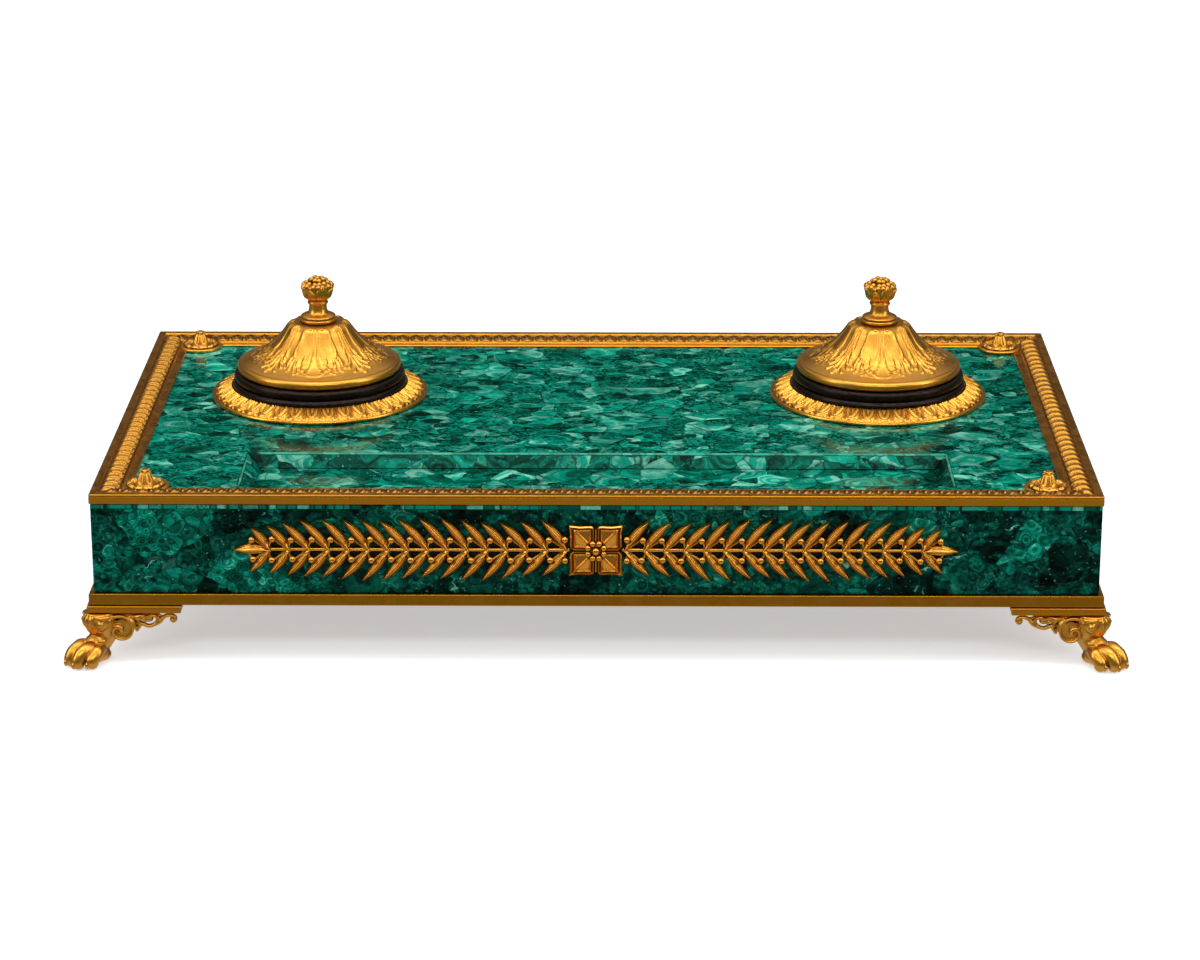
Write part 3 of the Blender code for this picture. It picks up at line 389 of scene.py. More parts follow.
def half_case():
    """Half the width and half the depth of the case, as the base and the feet go round it."""
    low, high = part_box("malachite_front")
    return high.x + LAP, LAP - low.y


# Shader node groups and materials

class Tree:
    """Places shader nodes in one tree and joins them."""

    def __init__(self, tree):
        self.tree = tree

    def node(self, kind, inputs=None, **settings):
        made = self.tree.nodes.new("ShaderNode" + kind)
        for name, value in settings.items():
            setattr(made, name, value)
        for name, value in (inputs or {}).items():
            self.feed(made.inputs[name], value)
        return made

    def feed(self, socket, value):
        if isinstance(value, bpy.types.NodeSocket):
            self.tree.links.new(value, socket)
        elif isinstance(value, (tuple, list)) and socket.type == "RGBA" and len(value) == 3:
            socket.default_value = (*value, 1)
        else:
            socket.default_value = value

    def math(self, operation, a, b=0.0, clamp=False):
        return self.node("Math", {0: a, 1: b}, operation=operation, use_clamp=clamp).outputs[0]

    def times(self, a, b, clamp=False):
        return self.math("MULTIPLY", a, b, clamp)

    def plus(self, whole, *others):
        for other in others:
            whole = self.math("ADD", whole, other)
        return whole

    def vector(self, operation, a, b):
        return self.node("VectorMath", {0: a, 1: b}, operation=operation).outputs[0]

    def mix(self, factor, a, b, blend="MIX"):
        made = self.node("Mix", data_type="RGBA", blend_type=blend)
        for name, value in (("Factor_Float", factor), ("A_Color", a), ("B_Color", b)):
            self.feed(next(s for s in made.inputs if s.identifier == name), value)
        return next(s for s in made.outputs if s.identifier == "Result_Color")

    def grey(self, value):
        return self.node("CombineColor", {0: value, 1: value, 2: value}).outputs[0]

    def channels(self, colour):
        return self.node("SeparateColor", {0: colour}).outputs

    def remap(self, value, low, high, to_low=0.0, to_high=1.0):
        inputs = {"Value": value, "From Min": low, "From Max": high, "To Min": to_low, "To Max": to_high}
        return self.node("MapRange", inputs).outputs[0]

    def noise(self, vector, scale, detail=2.0, distortion=0.0, output="Fac"):
        inputs = {"Vector": vector, "Scale": scale, "Detail": detail, "Distortion": distortion}
        return self.node("TexNoise", inputs).outputs[output]

    def cells(self, vector, scale, randomness=1.0, feature="F1"):
        inputs = {"Vector": vector, "Scale": scale, "Randomness": randomness}
        return self.node("TexVoronoi", inputs, feature=feature).outputs

    def edges(self, vector, scale, randomness=1.0):
        return self.cells(vector, scale, randomness, "DISTANCE_TO_EDGE")["Distance"]


def new_group(name, inputs):
    """A shader node group with named sockets. Returns its tree and its inner ends."""
    group = bpy.data.node_groups.new(name, "ShaderNodeTree")
    for label, kind, default in inputs:
        socket = group.interface.new_socket(label, in_out="INPUT", socket_type=kind)
        if kind == COLOUR:
            socket.default_value = (*default, 1)
        elif default is not None:
            socket.default_value = default
    for label, kind in OUTPUTS.items():
        group.interface.new_socket(label, in_out="OUTPUT", socket_type=kind)
    enter = group.nodes.new("NodeGroupInput")
    leave = group.nodes.new("NodeGroupOutput")
    return Tree(group), enter.outputs, leave.inputs


def gilding_group():
    """Gilding that is worn thin in blotches, and darker in its recesses, partly from dirt and partly from
    painted shade.
    """
    tree, given, result = new_group("gilding", (
        ("Vector", VECTOR, None), ("Gold", COLOUR, (1, 1, 1)), ("Tarnish", COLOUR, (1, 1, 1)),
        ("Dirt And Shade", COLOUR, (0, 0, 0)), ("Mottle", VALUE, 0.006), ("Recess", VALUE, 0.0015),
        ("Tarnish Share", VALUE, 0.3), ("Dirt And Shade Share", VALUE, 0.8), ("Roughness", VALUE, 0.3),
    ))
    times, plus = tree.times, tree.plus
    coarse = tree.math("DIVIDE", 1.0, given["Mottle"])
    blotch = tree.noise(given["Vector"], coarse, 4.0, 0.6)
    fine = tree.noise(given["Vector"], times(coarse, 9.0), 3.0)
    scratch = tree.noise(tree.vector("MULTIPLY", given["Vector"], (1.0, 9.0, 4.0)), 420.0)
    # Painted shade, partly dirt: an ambient occlusion node finds the recesses, which are darkened towards
    # the grime colour and made rougher.
    around = tree.node("AmbientOcclusion", {"Distance": given["Recess"]}, samples=4, only_local=True)
    hollow = tree.remap(tree.math("SUBTRACT", 1.0, around.outputs["AO"]), 0.1, 0.6)
    worn = times(tree.remap(blotch, 0.42, 0.66), given["Tarnish Share"])
    worn = tree.math("ADD", worn, times(tree.remap(fine, 0.5, 0.75), 0.18), clamp=True)
    shade = tree.mix(worn, given["Gold"], given["Tarnish"])
    dirt_and_shade = times(hollow, given["Dirt And Shade Share"], clamp=True)
    tree.feed(result["Colour"], tree.mix(dirt_and_shade, shade, given["Dirt And Shade"]))
    rough = plus(given["Roughness"], times(worn, 0.16))
    tree.feed(result["Roughness"], tree.math("ADD", rough, times(dirt_and_shade, 0.25), clamp=True))
    tree.feed(result["Height"], plus(times(fine, 0.7), times(scratch, 0.3)))


def malachite_group():
    """Cuts of malachite veneer: lobed eyes with rings and dark outlines, crumbs in the seams, pale veins, a
    painted highlight along an upper arris and painted shade in corners.
    """
    tree, given, result = new_group("malachite_figure", (
        ("Vector", VECTOR, None), ("Piece Size", VALUE, 0.017), ("Eye Size", VALUE, 0.006),
        ("Stretch", VECTOR, (1.0, 1.0, 1.0)), ("Rings", VALUE, 3.0), ("Brightness", VALUE, 0.0),
        ("Piece Contrast", VALUE, 0.5), ("Eye Contrast", VALUE, 0.3), ("Crumbs", VALUE, 0.2),
        ("Spread", VALUE, 1.2), ("Depth", VALUE, 1.5), ("Flecks", VALUE, 0.8), ("Strip Height", VALUE, 1.0),
        ("Unshaded Share", VALUE, 1.0), ("Arris", VALUE, 0.0), ("Dark", COLOUR, (0, 0, 0)),
        ("Middle", COLOUR, (0, 0.1, 0.1)), ("Light", COLOUR, (0, 0.3, 0.2)),
        ("Pale", COLOUR, (0.3, 0.7, 0.5)),
    ))
    times, plus, mix, remap, noise = tree.times, tree.plus, tree.mix, tree.remap, tree.noise
    dark, middle, light, pale = (given[label] for label in ("Dark", "Middle", "Light", "Pale"))

    def centred(value, amount):
        return times(tree.math("SUBTRACT", value, 0.5), amount)

    def shifted(vector, scale, detail, amount):
        push = tree.vector("SUBTRACT", noise(vector, scale, detail, output="Color"), (0.5, 0.5, 0.5))
        return tree.vector("ADD", vector, tree.vector("MULTIPLY", push, (amount,) * 3))

    # The cuts, and the eyes in them with their rings
    flat = tree.vector("DIVIDE", given["Vector"], given["Stretch"])
    bent = shifted(flat, 70.0, 3.0, 0.005)
    frayed = shifted(bent, 420.0, 2.0, 0.001)
    per_piece = tree.math("DIVIDE", 1.0, given["Piece Size"])
    cut = tree.cells(frayed, per_piece)["Color"]
    cut_edge = tree.edges(frayed, per_piece)
    pick = tree.channels(cut)
    there = tree.vector("ADD", bent, tree.vector("MULTIPLY", cut, (0.9, 0.7, 0.8)))
    spread = plus(0.42, times(tree.math("POWER", pick["Red"], 1.6), given["Spread"]))
    per_eye = tree.math("DIVIDE", spread, given["Eye Size"])
    eye = tree.cells(there, per_eye, 0.88)
    eye_edge = tree.edges(there, per_eye, 0.88)
    own = tree.channels(eye["Color"])
    ripple = noise(there, 420.0)
    reach = times(times(eye["Distance"], given["Rings"]), plus(0.6, own["Green"]))
    phase = plus(reach, times(own["Red"], 2.0), times(ripple, 0.5))
    broad = times(tree.math("SINE", times(phase, TURN)), 0.12)
    thin = times(tree.math("SINE", times(phase, 3.3 * TURN)), 0.05)
    rim = remap(eye_edge, 0.05, 0.24, 0.14, 0.0)
    core = remap(eye["Distance"], 0.0, 0.3, -0.07, 0.0)
    grain = noise(there, 1500.0, 3.0)
    cloud = noise(bent, 45.0, 3.0)
    tone = plus(0.38, broad, thin, rim, core, centred(own["Blue"], given["Eye Contrast"]),
                centred(grain, 0.2), centred(cloud, 0.2), given["Brightness"])
    shade = mix(remap(tone, 0.12, 0.4), dark, middle)
    shade = mix(remap(tone, 0.4, 0.62), shade, light)
    shade = mix(remap(tone, 0.7, 0.92), shade, pale)
    eye_seam = remap(eye_edge, 0.0, 0.055, 0.9, 0.0)
    shade = mix(times(eye_seam, remap(own["Red"], 0.1, 0.5)), shade, dark)
    span = times(given["Piece Contrast"], 1.35)
    level = times(tree.math("POWER", remap(pick["Green"], 0.1, 0.9), given["Depth"]), span)
    level = plus(tree.math("SUBTRACT", 1.0, given["Piece Contrast"]), level)
    shade = mix(1.0, shade, tree.grey(level), "MULTIPLY")

    # Crumbs of stone near the seams, veins, flecks and the seams themselves
    crumb_scale = tree.math("DIVIDE", 5.2, given["Eye Size"])
    crumb = tree.cells(frayed, crumb_scale)["Color"]
    crumb_edge = tree.edges(frayed, crumb_scale)
    crumbs = mix(remap(tree.channels(crumb)["Green"], 0.15, 0.95), dark, light)
    crumbs = mix(remap(crumb_edge, 0.0, 0.12, 0.9, 0.0), crumbs, dark)
    patch = remap(noise(flat, 150.0), 0.46, 0.56)
    near_seam = remap(cut_edge, 0.0, given["Crumbs"], 1.0, 0.0)
    shade = mix(times(patch, near_seam, clamp=True), shade, crumbs)
    wander = tree.math("ABSOLUTE", centred(noise(bent, 95.0, 3.0), 1.0))
    vein = times(remap(wander, 0.002, 0.016, 0.8, 0.0), remap(noise(flat, 75.0, 1.0), 0.67, 0.73))
    fleck = remap(noise(there, 820.0, 1.0), 0.7, 0.76)
    fleck = times(fleck, remap(eye_edge, 0.02, 0.2, given["Flecks"], 0.2))
    shade = mix(tree.math("MAXIMUM", vein, fleck), shade, pale)
    cut_seam = remap(cut_edge, 0.0, 0.016, 1.0, 0.0)
    shade = mix(times(cut_seam, 0.8), shade, dark)

    # The strip of small cuts along an upper edge
    spot = tree.node("SeparateXYZ", {0: given["Vector"]}).outputs
    run = tree.node("CombineXYZ", {"X": plus(spot["X"], spot["Y"])}).outputs[0]
    strip_edge = tree.edges(run, 150.0)
    strip_own = tree.channels(tree.cells(run, 150.0)["Color"])
    strip = mix(remap(plus(strip_own["Blue"], centred(grain, 0.5)), 0.1, 0.6), middle, light)
    strip = mix(remap(plus(strip_own["Red"], centred(grain, 0.5)), 0.72, 1.1, 0.0, 0.6), strip, pale)
    strip = mix(remap(strip_edge, 0.0, 0.05, 1.0, 0.0), strip, dark)
    above = tree.math("SUBTRACT", spot["Z"], given["Strip Height"])
    strip = mix(remap(above, 0.0001, 0.0003, 1.0, 0.0), strip, dark)
    # Painted highlight: a pale band along the arris at the very top of the edge.
    strip = mix(times(remap(above, 0.0002, 0.0004), given["Arris"]), strip, pale)
    in_strip = times(tree.math("GREATER_THAN", above, 0.0), remap(noise(run, 26.0, 1.0), 0.36, 0.38))
    shade = mix(in_strip, shade, strip)
    # Painted shade: the colour is darkened in the corners of the tray, where the unshaded share from an
    # ambient occlusion node is low.
    corner = remap(given["Unshaded Share"], 0.6, 0.95, 0.1, 1.0)
    tree.feed(result["Colour"], mix(1.0, shade, tree.grey(corner), "MULTIPLY"))
    tree.feed(result["Roughness"], plus(0.09, times(grain, 0.08)))
    tree.feed(result["Height"], tree.math("SUBTRACT", grain, cut_seam))


def start_material(name, **settings):
    """A material whose Principled shader has some plain settings, with its tree and object coordinates."""
    material = bpy.data.materials.new(name)
    material.use_nodes = True
    tree = Tree(material.node_tree)
    shader = material.node_tree.nodes["Principled BSDF"].inputs
    for label, value in settings.items():
        shader[label.replace("_", " ")].default_value = value
    return tree, shader, tree.node("TexCoord").outputs["Object"]


def coat(tree, shader, colour, roughness, height, depth, strength):
    """Feed a shader's colour, roughness and bump."""
    bump = tree.node("Bump", {"Height": height, "Distance": depth, "Strength": strength})
    tree.feed(shader["Base Color"], colour)
    tree.feed(shader["Roughness"], roughness)
    tree.feed(shader["Normal"], bump.outputs["Normal"])


def coat_from_group(tree, shader, group, inputs, depth, strength):
    made = tree.node("Group", node_tree=bpy.data.node_groups[group])
    for name, value in inputs.items():
        tree.feed(made.inputs[name], value)
    coat(tree, shader, *(made.outputs[label] for label in OUTPUTS), depth, strength)


def gilt_material(name, gilt, gold, roughness, tarnish_share, dirt_and_shade_share, reach=1.0):
    tree, shader, spot = start_material(name, Metallic=1.0, Coat_Weight=0.12, Coat_Roughness=0.2)
    coat_from_group(tree, shader, "gilding", {
        "Vector": spot, "Gold": tuple(gold), "Tarnish": tuple(gilt.tarnish), "Dirt And Shade": tuple(gilt.grime_and_shade),
        "Mottle": gilt.mottle, "Recess": gilt.recess * reach, "Tarnish Share": tarnish_share,
        "Dirt And Shade Share": dirt_and_shade_share, "Roughness": roughness,
    }, 0.00006, 0.3)


def stone_material(name, stone, gloss, dim=1.0, corner_shade=False, **figure):
    """Polished stone. The figure settings go to the malachite group, and dim darkens its green colours. A
    stone given corner shade gets painted shade in its corners from an ambient occlusion node."""
    tree, shader, spot = start_material(name, Specular_IOR_Level=gloss)
    inputs = {"Vector": spot, "Piece Size": stone.piece, "Pale": tuple(stone.pale)}
    for label, tint in (("Dark", stone.dark), ("Middle", stone.mid), ("Light", stone.light)):
        inputs[label] = tuple(c * dim for c in tint)
    inputs |= {label.replace("_", " "): value for label, value in figure.items()}
    if corner_shade:
        # Painted shade in the corners, from an ambient occlusion node.
        inputs["Unshaded Share"] = tree.node("AmbientOcclusion", {"Distance": 0.009}, samples=4).outputs["AO"]
    coat_from_group(tree, shader, "malachite_figure", inputs, 0.00002, 0.2)


def metal_material(name, low, high, roughness, scale):
    """Plain metal with a turned grain."""
    tree, shader, spot = start_material(name, Metallic=1.0)
    grain = tree.noise(tree.vector("MULTIPLY", spot, (1.0, 1.0, 6.0)), scale, 3.0)
    coat(tree, shader, tree.mix(tree.remap(grain, 0.35, 0.7), high, low),
         tree.remap(grain, 0.2, 0.8, roughness - 0.06, roughness + 0.12), grain, 0.00004, 0.2)


def wood_material():
    tree, shader, spot = start_material("oak_board")
    ring = tree.noise(tree.vector("MULTIPLY", spot, (1.0, 9.0, 9.0)), 60.0, 4.0, 0.8)
    pore = tree.noise(tree.vector("MULTIPLY", spot, (1.0, 30.0, 30.0)), 90.0)
    shade = tree.mix(tree.remap(ring, 0.35, 0.65), (0.3, 0.16, 0.07), (0.16, 0.08, 0.035))
    coat(tree, shader, tree.mix(tree.remap(pore, 0.6, 0.7), shade, (0.07, 0.035, 0.018)),
         tree.remap(ring, 0.3, 0.7, 0.55, 0.7), pore, 0.0001, 0.3)


def glass_material():
    tree, shader, spot = start_material("pressed_glass", Transmission_Weight=1.0, IOR=1.5)
    ripple = tree.noise(spot, 160.0, 1.0)
    coat(tree, shader, tree.mix(ripple, (0.93, 0.97, 0.96), (0.86, 0.94, 0.92)),
         tree.remap(ripple, 0.3, 0.7, 0.02, 0.06), ripple, 0.0002, 0.25)


FINISHES = {  # by the start of a CAD piece's name
    "malachite_top": "malachite_top", "malachite_": "malachite_side", "tray_": "malachite_tray",
    "carcass_": "oak_board", "base_board": "oak_board", "top_board": "oak_board",
    "foot_screw_": "plain_steel", "finial_nut_": "turned_brass",
}


class INKSTAND_OT_materials(Operator):
    """Make the finishes, and lay the stone, wood and plain metal on the CAD pieces"""
    bl_idname = "inkstand.materials"
    bl_label = "Finishes"

    def execute(self, context):
        gilt = context.scene.inkstand_gilt
        stone = context.scene.inkstand_stone
        gilding_group()
        malachite_group()
        # The copies differ partly as painted light: the leaf and flange gilding take less tarnish and less
        # painted shade so that they read brighter, and the ribbed gilding is darker, with its painted shade
        # reaching twice as far.
        for name, tint, polish, *shares in (
            ("burnished_gilding", gilt.gold, 0, 0.45, 0.92),
            ("plain_gilding", gilt.plain, 0.03, 0.6, 0.6),
            ("ribbed_gilding", gilt.ribbed, 0.06, 0.5, 1.0, 2.0),
            ("leaf_gilding", gilt.gold, 0.04, 0.12, 0.8, 0.4),
            ("flange_gilding", gilt.gold, 0.04, 0.12, 0.95, 0.8),
        ):
            gilt_material(name, gilt, tint, gilt.roughness - polish, *shares)
        stone_material("malachite_top", stone, 0.1, 1.08, Eye_Size=stone.eye, Stretch=(1.3, 1.0, 1.0),
                       Rings=1.7, Brightness=0.05, Piece_Contrast=0.35, Eye_Contrast=0.75, Crumbs=0.5)
        stone_material("malachite_side", stone, 0.05, 0.5, Eye_Size=stone.eye_front, Stretch=(1.2, 1.0, 1.0),
                       Rings=2.6, Brightness=-0.05, Piece_Contrast=0.9, Eye_Contrast=0.4, Crumbs=0.25,
                       Spread=2.4, Depth=2.0, Flecks=0.3,
                       Strip_Height=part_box("malachite_front")[1].z - 0.0018)
        stone_material("malachite_tray", stone, 0.03, 1.05, Eye_Size=stone.eye * 1.7,
                       Stretch=(1.1, 1.0, 1.0), Rings=2.6, Brightness=0.08, Piece_Contrast=0.3,
                       Eye_Contrast=0.75, Crumbs=0.15, Spread=0.7, corner_shade=True, Arris=0.3,
                       Strip_Height=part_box("tray_side_back")[1].z - 0.0009)
        # The black finish is the collars' own colour, and also the colour of the painted shadow discs behind
        # the sprays.
        metal_material("black_finish", (0.045, 0.033, 0.027), (0.016, 0.012, 0.01), 0.36, 500.0)
        metal_material("turned_brass", (0.62, 0.44, 0.16), (0.5, 0.33, 0.1), 0.3, 500.0)
        metal_material("plain_steel", (0.5, 0.49, 0.47), (0.36, 0.35, 0.34), 0.34, 500.0)
        wood_material()
        glass_material()
        for name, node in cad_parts.items():
            start = next((key for key in FINISHES if name.startswith(key)), None)
            if start:
                node.data.materials.clear()
                node.data.materials.append(bpy.data.materials[FINISHES[start]])
        return {"FINISHED"}


# Top frame, mouldings and plinths

def gadroons(along, across, pitch, hand):
    """Height share of the curved ribs: along in metres, across from 0 at the outer edge to 1."""
    outer = np.clip(CREST - across, 0, 1) / CREST
    inner = np.clip(across - CREST, 0, 1) / (1 - CREST)
    g = along / pitch - hand * (0.5 * outer**2 + 0.2 * inner**2)
    g = g - np.floor(g)
    fat = 0.31 * np.sqrt(np.clip(1 - 0.75 * outer**2.4 - 0.6 * inner**3, 0.02, 1))
    main = np.clip(1 - ((g - 0.4) / fat) ** 2, 0, 1) ** 0.8 - 0.55 * hump(g, 0.5, 0.055)
    main *= ease(across, -0.04, 0.36) * (1 - 0.4 * ease(across, 0.7, 1.0))
    second = 0.75 * np.clip(1 - ((g - 0.86) / 0.09) ** 2, 0, 1) ** 0.8
    second *= ease(across, 0.4, 0.55) * (1 - ease(across, 0.88, 1.0))
    end = np.clip(1 - ((g - 0.4) / 0.3) ** 2 - ((across - 0.92) / 0.085) ** 2, 0, 1)
    return np.maximum(np.maximum(main, second), 0.8 * np.sqrt(end))


def rail_section(rails, bottom, top, slab):
    """The rail's closed outline as (inset, height, share across the ribs) with a tag for each step."""
    start = rails.edge + 0.0003
    end = start + rails.band
    lip = end + rails.fillet
    outline = np.vstack([
        mm([(3.3, 0), (0.3, 0), (0, 0.3)], 0, bottom),
        mm([(0, -1.2), (0.25, -1), (0, -0.8), (0, -0.3), (0.3, 0)], 0, top),
        [(rails.edge * 0.55, top - 0.00012), (rails.edge, top), (start, top - 0.0007)],
    ])
    outline = [(s, z, -1.0, 0) for s, z in outline]
    for t in np.linspace(0, 1, 32)[1:]:
        bow = 0.0002 * (1 - t / CREST) ** 2 if t < CREST else 0.0009 * ((t - CREST) / (1 - CREST)) ** 2
        outline.append((start + rails.band * t, top - 0.0009 - bow, t, 1))
    tail = np.vstack([
        mm([(0.12, -0.35), (0.3, 0.1), (0.55, 0.2), (0.8, 0.05), (1, -0.4), (2.2, -0.6)], end, top - 0.0018),
        mm([(-0.3, 0.8), (0, 0.5), (0, 0.3)], lip, slab), mm([(3.3, 0.3)], 0, slab),
    ])
    outline += [(s, z, -1.0, 0) for s, z in tail]
    return np.array(outline)


def snap_to_notch(rows, spots, reach, floor):
    """Lower the points inside the round notches, and pull the next ones onto their edge."""
    for spot in spots:
        away = rows[..., :2] - np.array(spot)
        far = np.linalg.norm(away, axis=-1)
        inside = far < reach
        near = (~inside) & (far < reach + 0.0004)
        on_edge = np.array(spot) + away * (reach / np.maximum(far, 1e-9))[..., None]
        rows[..., 2] = np.where(inside, np.minimum(rows[..., 2], floor), rows[..., 2])
        rows[..., :2] = np.where(near[..., None], on_edge, rows[..., :2])
    return rows


class INKSTAND_OT_rails(Operator):
    """Model the four rails of the top frame, with their band of leaning ribs"""
    bl_idname = "inkstand.rails"
    bl_label = "Top frame"

    def execute(self, context):
        rails = context.scene.inkstand_rails
        low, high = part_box("frame_rail_front")
        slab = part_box("malachite_top")[1].z
        section = rail_section(rails, low.z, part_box("plinth_front_left")[0].z + FRAME_TOP, slab)
        bosses = [tuple(node_middle(f"boss_{corner}").xy) for corner in CORNERS]
        boss_reach = (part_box("boss_front_left")[1].x - bosses[0][0]) + 0.00025
        inset, height, across, tags = section.T
        for side, full, matrix in sides_of_case(high.x + 0.0002, -low.y):
            count = round(full / rails.pitch)
            along = mitred(full, inset, count * RIB_STEPS, 0.00015)
            hand = 1 if side == "left" else -1
            lift = gadroons(along + full / 2, across[None] + 0 * along, full / count, hand)
            lift = np.where(across[None] < 0, 0, lift) * rails.rise
            rows = moved(np.stack([along, inset[None] + 0 * along, height[None] + lift], -1), matrix)
            rows = snap_to_notch(rows, bosses, boss_reach, slab + 0.00034)
            skin = Skin().grid(rows, wrap=True, caps=True, tags=np.append(tags[1:], 0).astype(int))
            lay("gadroon_rail", side, skin, "frame_rail", "gilt_bronze", "plain_gilding", "ribbed_gilding")
        return {"FINISHED"}


class INKSTAND_OT_base(Operator):
    """Model the base moulding and the four plinth blocks over the feet"""
    bl_idname = "inkstand.base"
    bl_label = "Base moulding and plinths"

    def execute(self, context):
        low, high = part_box("base_moulding_front")
        half_x, half_y = half_case()
        reach = -low.y - half_y
        top, bottom = high.z, low.z
        section = fine_line([
            (0.009, bottom), (-reach + 0.0002, bottom), (-reach, bottom + 0.0002),
            (-reach, bottom + 0.0007), (-reach * 0.97, bottom + 0.0009), (-reach * 0.96, top - 0.0004),
            (-reach * 0.92, top - 0.0001), (-reach * 0.86, top), (0.009, top),
        ], 0.004)
        inset, height = section.T
        for side, full, matrix in sides_of_case(half_x, half_y):
            along = mitred(full, inset, 60, 0.0001)
            rows = np.stack([along, inset + 0 * along, height + 0 * along], -1)
            skin = Skin().grid(moved(rows, matrix), wrap=True, caps=True)
            lay("base_mould", side, skin, "base_moulding", "gilt_bronze_dull", "plain_gilding")
        for corner in CORNERS:
            node = f"plinth_{corner}"
            low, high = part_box(node)
            centre = node_middle(node)
            wide = half_wide(node)
            outline = np.vstack([
                (0.0005, low.z), mm([(-0.7, 0), (-0.5, 0.2)], wide, low.z),
                mm([(-0.5, -1.1), (-0.2, -0.9), (0, -0.7), (0, -0.2), (-0.2, 0)], wide, high.z),
                (0.0005, high.z),
            ])
            turn = [(1, 1), (-1, 1), (-1, -1), (1, -1)]
            rows = [[(centre.x + sx * w, centre.y + sy * w, z) for sx, sy in turn] for w, z in outline]
            skin = Skin().grid(rows, wrap=True, caps=True)
            lay("corner_block", corner, skin, "plinth", "gilt_bronze_dull", "plain_gilding")
        return {"FINISHED"}


# Corner bosses

def boss_rows(reach, seat, crown):
    """Disc, leafy ring and tapering ribbed bud, on a stud."""
    ring = reach * 0.77
    bud = reach * 0.345
    bud_line = [(1.2, 0.0013), (1.28, 0.0016), (1.2, 0.0019), (1.1, 0.002), (1, crown * 0.4),
                (0.84, crown * 0.6), (0.68, crown * 0.78), (0.58, crown * 0.85), (0.6, crown * 0.91),
                (0.42, crown)]
    outline = np.vstack([
        mm([(0.02, -8), (1.5, -8), (1.5, 0)]), [(reach - 0.0002, 0)],
        spline([(reach, 0.0003), (reach, 0.0009), (reach * 0.97, 0.00125), (reach * 0.9, 0.0014),
                (reach * 0.82, 0.00125)], 12),
        spline([(ring, 0.0011), (ring + 0.0003, 0.0017), (ring * 0.93, 0.0024), (ring * 0.8, 0.0021),
                (ring * 0.66, 0.0014), (bud * 1.3, 0.0011)], 26),
        spline([*((bud * r, z) for r, z in bud_line), (0.00002, crown)], 60),
    ])

    def relief(radius, height, theta):
        rise = height - seat
        leafy = ease(radius, ring * 0.5, ring * 0.7) * (1 - ease(radius, ring * 1.06, ring * 1.1))
        leafy *= ease(rise, 0.001, 0.0015)
        lobe = np.abs(np.cos(theta * 5))
        vein = np.abs(np.cos(theta * 15 + radius * 900))
        height = height + leafy * (0.0004 * lobe + 0.0004 * vein - 0.00045)
        rise = height - seat
        radius = radius * (1 + leafy * (0.06 * lobe - 0.04))
        budding = (radius < bud * 1.12) * ease(rise, 0.0022, 0.003)
        knob = ease(rise, crown * 0.84, crown * 0.9)
        ribs = 0.16 * (np.abs(np.cos((theta + QUARTER) * 2.5)) ** 1.5 - 0.6) * (1 - knob)
        rough = 0.3 * np.cos(theta * 5 + 1) * np.cos(height * 5200) * knob
        return radius * (1 + budding * (ribs + rough)), height
    return ring_rows(fine_line(outline + (0, seat), 0.0004), 90, relief)


class INKSTAND_OT_bosses(Operator):
    """Model the bud bosses in the corners of the top"""
    bl_idname = "inkstand.bosses"
    bl_label = "Corner bosses"

    def execute(self, context):
        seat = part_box("malachite_top")[1].z + PROUD
        for corner in CORNERS:
            node = f"boss_{corner}"
            rows = boss_rows(half_wide(node), seat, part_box(node)[1].z - seat)
            skin = Skin().grid(rows, wrap=True, caps=True).transformed(over(node))
            lay("bud_boss", corner, skin, "boss", "gilt_bronze", "burnished_gilding")
        return {"FINISHED"}


# Laurel sprays and rosette

def laurel_leaf(skin, length, width, matrix):
    """A lance-shaped leaf, hollow between its raised rims and its midrib, its back flat on the panel."""
    t = np.linspace(0, 1, 30)[:, None]
    j = np.linspace(-1, 1, 33)[None]
    blade = np.clip(np.sin(math.pi * t**0.86), 0, 1) ** 0.8
    half = width / 2 * np.maximum(blade, 0.42 * (1 - ease(t, 0.05, 0.3))) + 0.00008
    sickle = 0.032 * length * np.sin(math.pi * t)
    x = t * length + 0 * j
    z = sickle + j * half
    full = ease(t, 0.1, 0.3) * (1 - ease(t, 0.9, 1))
    rim = 0.0006 * hump(np.abs(j), 0.84, 0.11) * full
    rib = (0.0004 * hump(j, 0, 0.11) + 0.0002 * hump(np.abs(j), 0.42, 0.1)) * full
    rib += 0.0003 * hump(j, 0, 0.5) * (1 - full)
    crown = 0.0005 + 0.0016 * (1 - np.abs(j) ** 1.3) + 0.0004 * ease(t, 0.15, 0.6)
    y = -(crown + rim + rib)
    y = np.where(np.abs(j) > 0.99, -0.00012 - 0.0003 * ease(t, 0.5, 1), y)
    back = np.stack([x[:, ::-1], 0 * y, z[:, ::-1]], -1)[:, ::8]
    rows = np.concatenate([np.stack([x, y, z], -1), back], 1)
    skin.grid(moved(rows, matrix), wrap=True, caps=True)


